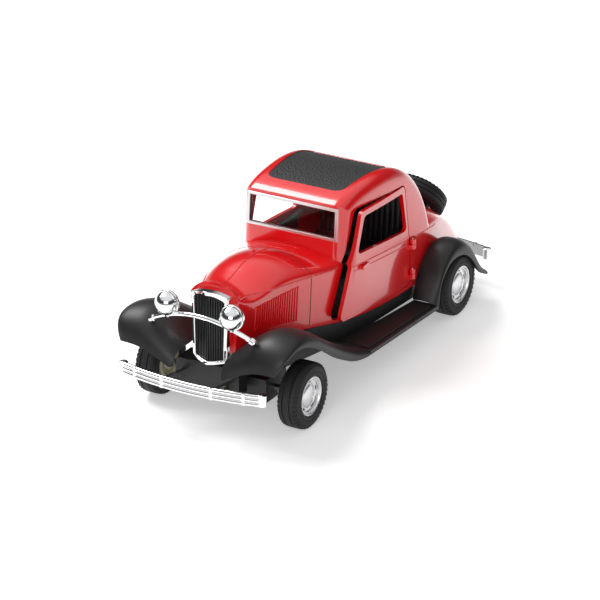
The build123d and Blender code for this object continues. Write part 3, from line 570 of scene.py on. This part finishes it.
APRON_DROPS = [(-57.0, 4.6), (-55.0, 5.6), (-52.5, 6.4), (-47.0, 7.2), (-41.0, 6.2),
               (-35.0, 3.6), (-26.2, 1.0), (-18.5, 0.0)]
FENDER_WALL = 0.85
FENDER_GAP = 0.15
FENDER_STATIONS = 26
NOSE_TUCK = 2.6
NOSE_STATIONS = 4.0
# share across the fender, share of the way from crest to lip
FENDER_ROLL = [(0.0, 0.22), (0.14, 0.06), (0.32, 0.0), (0.55, 0.0), (0.72, 0.07), (0.85, 0.2),
               (0.93, 0.36), (0.98, 0.56), (1.0, 0.78), (1.0, 1.0)]
BODY_HALF = [(-60, 7.4), (-52, 6.2), (-47, 6.0), (-34, 9.0), (-20, 12.4), (-9.5, 14.6),
             (8, 16.4), (24, 17.4), (36, 17.1), (47, 15.4), (60, 13.6)]


def body_half(y):
    """Half the width of the body where a fender meets it."""
    for (y0, half0), (y1, half1) in zip(BODY_HALF, BODY_HALF[1:]):
        if y <= y1:
            return half0 + (half1 - half0) * (y - y0) / (y1 - y0)
    return BODY_HALF[-1][1]


def apron_drop(x, y):
    """How far the front fender falls away towards the body at x, y."""
    if x >= APRON_X:
        return 0.0
    for (y0, drop0), (y1, drop1) in zip(APRON_DROPS, APRON_DROPS[1:]):
        if y <= y1:
            share = max(0.0, (y - y0) / (y1 - y0))
            inward = (APRON_X - x) / (APRON_X - APRON_INNER)
            return (drop0 + (drop1 - drop0) * share) * inward ** APRON_CURVE
    return 0.0


def fender_sheet(crest, lip, stations, outer_half, nose_tuck):
    """A domed sheet: a cross-section edge chain extruded from station to station."""
    crest_line = rounded(crest, stations, 2)
    lip_line = rounded(lip, stations, 2)
    rows = []
    for i, (top, low) in enumerate(zip(crest_line, lip_line)):
        tuck = nose_tuck * max(0.0, 1 - i / NOSE_STATIONS) ** 2
        inner = body_half(top[0]) + FENDER_GAP
        outer = outer_half - tuck
        row = []
        for across, down in FENDER_ROLL:
            y = top[0] + (low[0] - top[0]) * down
            z = top[1] + (low[1] - top[1]) * down
            x = inner + (outer - inner) * across
            if nose_tuck:
                z -= apron_drop(x, y)
            row.append(spot(x, y, z))
        rows.append(row)
    bm = bmesh.new()
    verts, edges = loop_of(bm, rows[0], closed=False)
    for row in rows[1:]:
        grown = bmesh.ops.extrude_edge_only(bm, edges=edges)["geom"]
        edges = [e for e in grown if isinstance(e, bmesh.types.BMEdge)
                 and all(v in grown for v in e.verts)]
        new_verts = [v for v in grown if isinstance(v, bmesh.types.BMVert)]
        partner = {}
        for vert in new_verts:
            for edge in vert.link_edges:
                other = edge.other_vert(vert)
                if other in verts:
                    partner[other] = vert
        verts = [partner[v] for v in verts]
        for vert, place in zip(verts, row):
            vert.co = place
    bmesh.ops.recalc_face_normals(bm, faces=bm.faces)
    if sum(face.normal.z for face in bm.faces) < 0:
        bmesh.ops.reverse_faces(bm, faces=bm.faces)
    return bm


def thicken(piece, levels, thickness):
    smooth = piece.modifiers.new("rounding", 'SUBSURF')
    smooth.levels = levels
    smooth.render_levels = levels
    shell = piece.modifiers.new("wall", 'SOLIDIFY')
    shell.thickness = thickness * MM
    shell.offset = -1
    shell.use_even_offset = True


class TOYCOUPE_OT_fenders(bpy.types.Operator):
    """Satin black fenders, running boards and tread mats"""
    bl_idname = "toycoupe.fenders"
    bl_label = "Fenders and Boards"

    def execute(self, context):
        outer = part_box("fender_front_left")[1].x / MM
        for side, sign in SIDES:
            for end, crest, lip, tuck in (("front", FRONT_CREST, FRONT_LIP, NOSE_TUCK),
                                          ("rear", REAR_CREST, REAR_LIP, 0.0)):
                sheet = fender_sheet(crest, lip, FENDER_STATIONS, outer, tuck)
                if sign < 0:
                    mirror_x(sheet)
                node = f"fender_{end}_{side}"
                piece = finish_piece(f"domed_{node}", sheet, [FINISH["black_satin"]], "root",
                                     [node], crease=60)
                thicken(piece, 2, FENDER_WALL)
            for node in (f"running_board_{side}", f"board_mat_{side}"):
                bm = frame_copy(node)
                bmesh.ops.dissolve_limit(bm, angle_limit=math.radians(1), verts=bm.verts,
                                         edges=bm.edges)
                piece = finish_piece(f"moulded_{node}", bm, [FINISH["black_satin"]], "root",
                                     [node])
                soften(piece, 0.12)
        return {'FINISHED'}


def soften(piece, width, segments=2):
    edge = piece.modifiers.new("soft_edges", 'BEVEL')
    edge.width = width * MM
    edge.segments = segments
    edge.limit_method = 'ANGLE'
    edge.angle_limit = math.radians(35)
    edge.harden_normals = False


# ---- bright work -------------------------------------------------------------------
class TOYCOUPE_OT_radiator(bpy.types.Operator):
    """Plated radiator surround and black grille"""
    bl_idname = "toycoupe.radiator"
    bl_label = "Radiator"

    def execute(self, context):
        bm = frame_copy("radiator_shell")
        bmesh.ops.dissolve_limit(bm, angle_limit=math.radians(1), verts=bm.verts, edges=bm.edges)
        piece = finish_piece("plated_radiator", bm, [FINISH["chrome"]], "root",
                             ["radiator_shell"])
        soften(piece, 0.22, 3)
        finish_piece("black_grille", frame_copy("grille"), [FINISH["black_satin"]], "root",
                     ["grille"])
        return {'FINISHED'}


LAMP_BALL_R = 2.95
LAMP_RING = [(-0.95, 3.0), (-0.9, 3.2), (-0.7, 3.3), (-0.35, 3.3), (-0.15, 3.2), (-0.1, 3.0)]
LENS_R = 3.08
LAMP_X = 9.2
LAMP_Y = -54.4
LAMP_Z = 32.4
BAR_HALF = 14.3
BAR_Z = (26.6, 30.9)
BAR_Y = (-53.0, -54.7)
BAR_R = 0.6
BAR_STEPS = 20
COLLAR = [(-0.9, 0), (-0.9, 0.7), (-0.6, 0.95), (0.5, 0.95), (0.8, 0.7), (0.8, 0)]
COLLAR_LEAN = math.radians(26)
FOOT_R = 0.85
FOOT_DROP = 2.6
LENS_WALL = 0.1
LENS_EDGE = 100


def ball_arc(radius, start, end, steps=14):
    """(along, radius) points on a ball between two angles from its back pole."""
    turns = [math.radians(start + (end - start) * i / steps) for i in range(steps + 1)]
    return [(-radius * math.cos(t), radius * math.sin(t)) for t in turns]


def bar_point(x):
    """A point on the arched lamp bar."""
    share = 1 - (x / BAR_HALF) ** 2
    y, z = (low + (high - low) * share for low, high in (BAR_Y, BAR_Z))
    return spot(x, y, z)


class TOYCOUPE_OT_lamps(bpy.types.Operator):
    """Plated headlamps with clear lenses on their arched bar"""
    bl_idname = "toycoupe.lamps"
    bl_label = "Lamps"

    def execute(self, context):
        places = [bar_point(BAR_HALF * i / BAR_STEPS) for i in range(-BAR_STEPS, BAR_STEPS + 1)]
        bar = [tube(places, BAR_R, 5)]
        for sign in (-1, 1):
            collar = spun(COLLAR, 24)
            lean = Matrix.Rotation(COLLAR_LEAN * sign, 4, 'Y')
            matrix = Matrix.Translation(bar_point(sign * BAR_HALF)) @ lean
            bmesh.ops.transform(collar, matrix=matrix, verts=collar.verts)
            bar.append(collar)
        finish_piece("plated_lamp_bar", joined(bar), [FINISH["chrome"]], "root",
                     ["headlamp_bar"])
        forward = Matrix.Rotation(-math.pi / 2, 4, 'Z')
        for side, sign in SIDES:
            centre = spot(sign * LAMP_X, LAMP_Y, LAMP_Z)
            place = Matrix.Translation(centre) @ forward
            ball = spun(ball_arc(LAMP_BALL_R, 0, 180, 28), 48)
            ring = spun(LAMP_RING, 48, closed=True)
            for part in (ball, ring):
                bmesh.ops.transform(part, matrix=place, verts=part.verts)
            foot_top = centre - Vector((0, 0, FOOT_DROP * MM))
            foot = tube([foot_top, bar_point(sign * LAMP_X)], FOOT_R, 4)
            finish_piece(f"plated_lamp_{side}", joined([ball, ring, foot]), [FINISH["chrome"]],
                         "root", [f"headlamp_{side}"])
            outer = ball_arc(LENS_R, LENS_EDGE, 180)
            inner = ball_arc(LENS_R - LENS_WALL, LENS_EDGE, 180)
            lens = spun(outer + inner[::-1], 48, closed=True)
            bmesh.ops.transform(lens, matrix=place, verts=lens.verts)
            finish_piece(f"clear_lens_{side}", lens, [FINISH["glass"]], "root",
                         [f"lamp_lens_{side}"])
        return {'FINISHED'}


# ---- bumpers -----------------------------------------------------------------------
RIDGE_R = 0.52
RIDGE_PITCH = 1.07
BLADE_BACK = 0.42
BLADE_HALF_HEIGHT = 1.58
BLADE_FRONT = 0.45
BOW_LESS = 2.05
ROLL_R = 1.1
ROLL_END = [(-1.6, 0), (-1.6, 0.8), (-1.4, ROLL_R), (1.4, ROLL_R), (1.6, 0.8), (1.6, 0)]
CLIP_SIZE = (0.9, 0.8, 3.1)
CLIP_XS = (7.0, 15.5)


def blade_profile():
    """One pass round the blade, (depth, height): three rounded ridges and a flat back."""
    points = []
    for ridge in (-1, 0, 1):
        for step in range(9):
            turn = math.radians(-84 + 21 * step)
            points.append((0.07 - RIDGE_R * math.cos(turn),
                           ridge * RIDGE_PITCH + RIDGE_R * math.sin(turn)))
        if ridge < 1:
            points.append((0.1, (ridge + 0.5) * RIDGE_PITCH))
    return points + [(BLADE_BACK, BLADE_HALF_HEIGHT), (BLADE_BACK, -BLADE_HALF_HEIGHT)]


def blade(node, toward):
    """A bowed and grooved bumper blade with rolled ends."""
    low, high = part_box(node)
    crown = low.y if toward > 0 else high.y
    height = (low.z + high.z) / 2
    half = high.x / MM - ROLL_R
    bow = (high.y - low.y) / MM - BOW_LESS
    radius = (half * half + bow * bow) / (2 * bow)
    centre = Vector((0, crown + toward * (radius + BLADE_FRONT) * MM, height))
    swing = math.asin(half / radius)
    bm = bmesh.new()
    points = [Vector((0, crown + toward * (BLADE_FRONT + y) * MM, height + z * MM))
              for y, z in blade_profile()]
    verts, edges = loop_of(bm, points)
    bmesh.ops.rotate(bm, verts=verts, cent=centre, matrix=Matrix.Rotation(-swing, 3, 'Z'))
    bmesh.ops.spin(bm, geom=verts + edges, axis=(0, 0, 1), cent=centre, steps=28,
                   angle=2 * swing, use_merge=False)
    bmesh.ops.holes_fill(bm, edges=bm.edges, sides=len(points) + 2)
    bmesh.ops.recalc_face_normals(bm, faces=bm.faces)
    parts = [bm]
    for sign in (-1, 1):
        end = spun(ROLL_END, 24)
        tip_y = (high.y if toward > 0 else low.y) - toward * ROLL_R * MM
        matrix = Matrix.Translation((sign * half * MM, tip_y, height))
        bmesh.ops.transform(end, matrix=matrix @ Matrix.Rotation(math.pi / 2, 4, 'Y'),
                            verts=end.verts)
        parts.append(end)
        for x in CLIP_XS:
            back_off = radius - math.sqrt(radius * radius - x * x)
            place = Vector((sign * x * MM, crown + toward * (0.43 + back_off) * MM, height))
            parts.append(brick(CLIP_SIZE, place, 0.08))
    return joined(parts)


class TOYCOUPE_OT_bumpers(bpy.types.Operator):
    """Grooved bumpers on their brackets"""
    bl_idname = "toycoupe.bumpers"
    bl_label = "Bumpers"

    def execute(self, context):
        for node, toward in (("front_bumper", 1), ("rear_bumper", -1)):
            finish_piece(f"plated_{node}", blade(node, toward), [FINISH["chrome"]], "root",
                         [node])
        NODES["bumper_brackets"].data.materials.clear()
        NODES["bumper_brackets"].data.materials.append(FINISH["chrome"])
        return {'FINISHED'}


# ---- wheels ------------------------------------------------------------------------
LUG_SIZE = (0.55, 0.62, 1.0)
LUG_IN = 0.62
LUG_REACH = 7.9
LUG_LEAN = math.radians(38)
SPARE_WIDTH = 5.0
SPARE_LEAN = math.radians(40)


def tyre_body(width, tyres):
    """A tyre with its outer face at X = 0: grooved tread and lugged shoulders."""
    r = TYRE_R / MM
    w = width / MM
    half = [(-0.45, 5.12), (-0.12, 5.25), (0.0, 5.6), (-0.02, 6.1), (-0.12, 6.2), (-0.12, 6.35),
            (0.0, 6.45), (0.0, 6.9), (-0.15, 7.5), (-0.45, 8.0), (-0.9, r - 0.25),
            (-1.35, r - 0.02), (-1.75, r), (-1.8, r - 0.3), (-2.0, r - 0.3), (-2.05, r)]
    other = [(-w - x, rr) for x, rr in reversed(half)]
    bm = spun(half + other, 80, closed=True)
    lugs = []
    for shoulder in (0, 1):
        for i in range(tyres.lugs):
            turn = 2 * math.pi * (i + shoulder / 2) / tyres.lugs
            axial = -LUG_IN if shoulder == 0 else LUG_IN - w
            lean = LUG_LEAN if shoulder == 0 else -LUG_LEAN
            seat = Matrix.Translation((axial * MM, 0, LUG_REACH * MM))
            place = Matrix.Rotation(turn, 4, 'X') @ seat
            lug = bmesh.new()
            bmesh.ops.create_cube(lug, size=1)
            bmesh.ops.scale(lug, vec=Vector(LUG_SIZE) * MM, verts=lug.verts)
            bmesh.ops.transform(lug, matrix=place @ Matrix.Rotation(-lean, 4, 'Y'),
                                verts=lug.verts)
            lugs.append(lug)
    return joined([bm] + lugs)


DISC = [(-0.66, 0.0), (-0.68, 0.7), (-0.76, 1.4), (-0.92, 2.1), (-1.1, 2.6), (-1.25, 2.8),
        (-1.5, 2.9), (-1.5, 3.05), (-1.28, 3.15), (-1.2, 3.3), (-1.2, 4.05), (-1.1, 4.15),
        (-0.75, 4.2), (-0.7, 4.35), (-0.72, 4.45), (-0.4, 4.6), (-0.28, 4.8), (-0.3, 5.0),
        (-0.45, 5.09)]
SLOT_RING = (3.3, 4.05)
SLOT_WIDTH = 24
SLOT_DEPTH = 0.6


def disc_body(width, slots=5):
    """The bright disc with its domed cap, stepped rim and sunk slots; the slot floors take the
    second material, a flat black, as painted shade.
    """
    w = width / MM
    profile = DISC + [(-w + 0.6, 5.09), (-w + 0.6, 4.6), (-2.1, 4.4), (-2.1, 0.0)]
    bm = spun(profile, 60)
    share = 360 / slots
    picked = [[] for _ in range(slots)]
    for face in bm.faces:
        centre = face.calc_center_median() / MM
        reach = math.hypot(centre.y, centre.z)
        if SLOT_RING[0] < reach < SLOT_RING[1] and centre.x > -1.3:
            angle = math.degrees(math.atan2(centre.z, centre.y)) % 360
            if angle % share < SLOT_WIDTH:
                picked[int(angle // share)].append(face)
    for faces in picked:
        bmesh.ops.inset_region(bm, faces=faces, thickness=0.12 * MM, use_boundary=True)
        result = bmesh.ops.extrude_face_region(bm, geom=faces)
        verts = [v for v in result["geom"] if isinstance(v, bmesh.types.BMVert)]
        floor = [f for f in result["geom"] if isinstance(f, bmesh.types.BMFace)]
        bmesh.ops.delete(bm, geom=faces, context='FACES_ONLY')
        bmesh.ops.translate(bm, vec=(-SLOT_DEPTH * MM, 0, 0), verts=verts)
        # the slot floors get material 1, a flat black, as painted shade in the recesses
        for face in floor:
            face.material_index = 1
    bmesh.ops.recalc_face_normals(bm, faces=bm.faces)
    return bm


def wheel_place(end, sign):
    axle = FRONT_AXLE if end == "front" else REAR_AXLE
    return Matrix.Translation((sign * TYRE_FACE, axle.y, axle.z))


class TOYCOUPE_OT_wheels(bpy.types.Operator):
    """Rubber tyres, bright discs and cream hubs at the four corners"""
    bl_idname = "toycoupe.wheels"
    bl_label = "Wheels"

    def execute(self, context):
        tyres = context.scene.toycoupe_tyres
        for end, side, sign in CORNERS:
            body = f"{end}_axle_set"
            # the disc's second material paints its slot floors black as painted shade
            for kind, maker, mats in (("tyre", tyre_body(TYRE_W, tyres), ["rubber"]),
                                      ("wheel_disc", disc_body(TYRE_W), ["silver", "rubber"])):
                if sign < 0:
                    mirror_x(maker)
                bmesh.ops.transform(maker, matrix=wheel_place(end, sign), verts=maker.verts)
                node = f"{kind}_{end}_{side}"
                finish_piece(f"road_{node}", maker, [FINISH[m] for m in mats], body, [node],
                             crease=30)
        return {'FINISHED'}


class TOYCOUPE_OT_spare(bpy.types.Operator):
    """Spare wheel leaning on the tail"""
    bl_idname = "toycoupe.spare"
    bl_label = "Spare Wheel"

    def execute(self, context):
        tyres = context.scene.toycoupe_tyres
        centre = middle("spare_tyre")
        width = SPARE_WIDTH * MM
        place = (Matrix.Translation(centre) @ Matrix.Rotation(SPARE_LEAN, 4, 'X')
                 @ Matrix.Rotation(math.pi / 2, 4, 'Z') @ Matrix.Translation((width / 2, 0, 0)))
        # the disc's second material paints its slot floors black as painted shade
        for node, bm, mats in (("spare_tyre", tyre_body(width, tyres), ["rubber"]),
                               ("spare_wheel", disc_body(width), ["silver", "rubber"])):
            bmesh.ops.transform(bm, matrix=place, verts=bm.verts)
            finish_piece(f"tail_{node}", bm, [FINISH[m] for m in mats], "root", [node],
                         crease=30)
        return {'FINISHED'}


# ---- cabin -------------------------------------------------------------------------
PLEAT_LINE = [(26.3, 20.3), (27.5, 34.6), (27.9, 35.5), (28.7, 35.6), (29.8, 35.2)]


class TOYCOUPE_OT_cabin(bpy.types.Operator):
    """Pleated seat, dashboard, windscreen and glazing"""
    bl_idname = "toycoupe.cabin"
    bl_label = "Cabin"

    def execute(self, context):
        pleats = context.scene.toycoupe_trim.pleats
        low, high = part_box("seat_back")
        seat = frame_copy("seat_back")
        parts = [seat]
        pitch = (high.x - low.x) / pleats
        for i in range(pleats):
            x = low.x + pitch * (i + 0.5)
            line = [Vector((x, BASE_Y + y * MM, z * MM)) for y, z in PLEAT_LINE]
            parts.append(tube(line, pitch / MM * 0.42, rounds=2))
        finish_piece("pleated_seat_back", joined(parts), [FINISH["black_satin"]], "root",
                     ["seat_back"])
        for node in ("bench_seat", "dashboard", "steering_wheel", "interior_tub"):
            finish_piece(f"moulded_{node}", frame_copy(node), [FINISH["black_satin"]], "root",
                         [node])
        piece = finish_piece("silver_screen_frame", frame_copy("windscreen_frame"),
                             [FINISH["silver"]], "root", ["windscreen_frame"])
        soften(piece, 0.15)
        for node in ("windscreen_glass", "rear_window_glass"):
            finish_piece(f"clear_{node}", frame_copy(node), [FINISH["glass"]], "root", [node])
        return {'FINISHED'}


class TOYCOUPE_OT_underside(bpy.types.Operator):
    """Chassis, axles, hubs, motor and fasteners"""
    bl_idname = "toycoupe.underside"
    bl_label = "Underside"

    def execute(self, context):
        slots = {s["node"]: s["material_slot"] for s in frame["record"]["subparts"]}
        plain = ["chassis", "motor_case", "motor_lid", "spare_carrier", "body_screws",
                 "hinge_pins", "axle_gear", "idler_gear", "flywheel_pinion", "flywheel",
                 "front_axle", "rear_axle", "idler_shaft", "flywheel_shaft"]
        plain += [f"wheel_hub_{end}_{side}" for end, side, _ in CORNERS]
        for node in plain:
            body = NODES[node]["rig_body"]
            finish_piece(f"fitted_{node}", frame_copy(node), [FINISH[slots[node]]], body, [node])
        return {'FINISHED'}


# ---- stage -------------------------------------------------------------------------
FLOOR_LIFT = 0.36
STUDIO = [(0.0, 0.5), (0.1, 0.22), (0.2, 0.04), (0.5, 0.06), (0.66, 0.75), (1.0, 0.9)]
LOOK_AT = (0, -4.95, 16.13)


def floor_material():
    """White floor that keeps the shadow but lifts to white where the camera sees it lit."""
    mat = bpy.data.materials.new("white_sweep")
    mat.use_nodes = True
    nodes, links = mat.node_tree.nodes, mat.node_tree.links
    bsdf = nodes["Principled BSDF"]
    bsdf.inputs["Base Color"].default_value = (0.93, 0.93, 0.93, 1)
    bsdf.inputs["Roughness"].default_value = 0.9
    bsdf.inputs["Specular IOR Level"].default_value = 0.1
    path = nodes.new("ShaderNodeLightPath")
    seen = nodes.new("ShaderNodeMath")
    seen.operation = 'MAXIMUM'
    links.new(path.outputs["Is Camera Ray"], seen.inputs[0])
    links.new(path.outputs["Is Glossy Ray"], seen.inputs[1])
    through = nodes.new("ShaderNodeMath")
    through.operation = 'MAXIMUM'
    links.new(seen.outputs[0], through.inputs[0])
    links.new(path.outputs["Is Transmission Ray"], through.inputs[1])
    lift = nodes.new("ShaderNodeMath")
    lift.operation = 'MULTIPLY'
    lift.inputs[1].default_value = FLOOR_LIFT
    links.new(through.outputs[0], lift.inputs[0])
    bsdf.inputs["Emission Color"].default_value = (1, 1, 1, 1)
    links.new(lift.outputs[0], bsdf.inputs["Emission Strength"])
    return mat


def light_world(strength):
    """Even white light, with a studio that only mirrors see."""
    world = bpy.data.worlds.new("studio")
    bpy.context.scene.world = world
    world.use_nodes = True
    nodes, links = world.node_tree.nodes, world.node_tree.links
    background = nodes["Background"]
    background.inputs["Color"].default_value = (1, 1, 1, 1)
    path = nodes.new("ShaderNodeLightPath")
    # mirrors see a dark studio between a pale horizon and a bright ceiling
    coords = nodes.new("ShaderNodeTexCoord")
    split = nodes.new("ShaderNodeSeparateXYZ")
    links.new(coords.outputs["Generated"], split.inputs[0])
    studio = nodes.new("ShaderNodeValToRGB")
    ramp = studio.color_ramp.elements
    for _ in STUDIO[2:]:
        ramp.new(0.5)
    for element, (place, level) in zip(ramp, STUDIO):
        element.position = place
        element.color = (level, level, level, 1)
    links.new(split.outputs["Z"], studio.inputs["Fac"])
    mirror_level = nodes.new("ShaderNodeMix")
    mirror_level.data_type = 'FLOAT'
    mirror_level.inputs[2].default_value = strength
    links.new(path.outputs["Is Glossy Ray"], mirror_level.inputs[0])
    links.new(studio.outputs["Color"], mirror_level.inputs[3])
    level = nodes.new("ShaderNodeMix")
    level.data_type = 'FLOAT'
    level.inputs[3].default_value = 1.0
    links.new(path.outputs["Is Camera Ray"], level.inputs[0])
    links.new(mirror_level.outputs[0], level.inputs[2])
    links.new(level.outputs[0], background.inputs["Strength"])


def area_lamp(name, place, aim, size, power):
    data = bpy.data.lights.new(name, 'AREA')
    data.shape = 'RECTANGLE'
    data.size, data.size_y = size
    data.energy = power
    lamp = bpy.data.objects.new(name, data)
    bpy.context.scene.collection.objects.link(lamp)
    lamp.location = place
    lamp.rotation_euler = (Vector(aim) - Vector(place)).to_track_quat('-Z', 'Y').to_euler()


class TOYCOUPE_OT_stage(bpy.types.Operator):
    """White floor, soft lamps and the camera"""
    bl_idname = "toycoupe.stage"
    bl_label = "Stage"

    def execute(self, context):
        stage = context.scene.toycoupe_stage
        bm = bmesh.new()
        bmesh.ops.create_grid(bm, x_segments=1, y_segments=1, size=4)
        mesh = bpy.data.meshes.new("white_floor")
        bm.to_mesh(mesh)
        bm.free()
        mesh.materials.append(floor_material())
        floor = bpy.data.objects.new("white_floor", mesh)
        context.scene.collection.objects.link(floor)
        light_world(stage.sky)
        area_lamp("key", (-0.45, 0.05, 0.62), (0, 0, 0.02), (0.42, 0.42), stage.key)
        area_lamp("front_fill", (0.25, -0.7, 0.35), (0, 0, 0.02), (0.5, 0.3), stage.key * 0.35)
        azimuth = math.radians(stage.azimuth)
        elevation = math.radians(stage.elevation)
        back = Vector((math.sin(azimuth) * math.cos(elevation),
                       -math.cos(azimuth) * math.cos(elevation), math.sin(elevation)))
        look = spot(*LOOK_AT)
        data = bpy.data.cameras.new("view")
        data.lens = stage.lens
        data.sensor_width = 36
        data.clip_start = 0.05
        camera = bpy.data.objects.new("view", data)
        context.scene.collection.objects.link(camera)
        camera.location = look + back * stage.distance
        camera.rotation_euler = (-back).to_track_quat('-Z', 'Y').to_euler()
        context.scene.camera = camera
        context.scene.view_settings.view_transform = 'Standard'
        return {'FINISHED'}


class TOYCOUPE_PT_panel(bpy.types.Panel):
    """Lists the operators and settings of the toy coupe"""
    bl_idname = "TOYCOUPE_PT_panel"
    bl_label = "Toy Coupe"
    bl_space_type = 'VIEW_3D'
    bl_region_type = 'UI'
    bl_category = "Toy Coupe"

    def draw(self, context):
        for group in SETTINGS:
            box = self.layout.box()
            for key in group.__annotations__:
                box.prop(getattr(context.scene, SETTINGS[group]), key)
        for operator in OPERATORS:
            self.layout.operator(operator.bl_idname)


SETTINGS = {ToyCoupeFinish: "toycoupe_finish", ToyCoupeTyres: "toycoupe_tyres",
            ToyCoupeTrim: "toycoupe_trim", ToyCoupeStage: "toycoupe_stage"}
OPERATORS = (TOYCOUPE_OT_body, TOYCOUPE_OT_doors, TOYCOUPE_OT_fenders, TOYCOUPE_OT_radiator,
             TOYCOUPE_OT_lamps, TOYCOUPE_OT_bumpers, TOYCOUPE_OT_wheels, TOYCOUPE_OT_spare,
             TOYCOUPE_OT_cabin, TOYCOUPE_OT_underside, TOYCOUPE_OT_stage)


def register():
    for cls in (*SETTINGS, *OPERATORS, TOYCOUPE_PT_panel):
        bpy.utils.register_class(cls)
    for group, name in SETTINGS.items():
        setattr(bpy.types.Scene, name, PointerProperty(type=group))


def unregister():
    for name in SETTINGS.values():
        delattr(bpy.types.Scene, name)
    for cls in reversed((*SETTINGS, *OPERATORS, TOYCOUPE_PT_panel)):
        bpy.utils.unregister_class(cls)


def main():
    register()
    mix_finishes(bpy.context.scene.toycoupe_finish)
    for operator in OPERATORS:
        group, name = operator.bl_idname.split(".")
        getattr(getattr(bpy.ops, group), name)()
    bpy.context.view_layer.update()


if __name__ == "__main__":
    main()
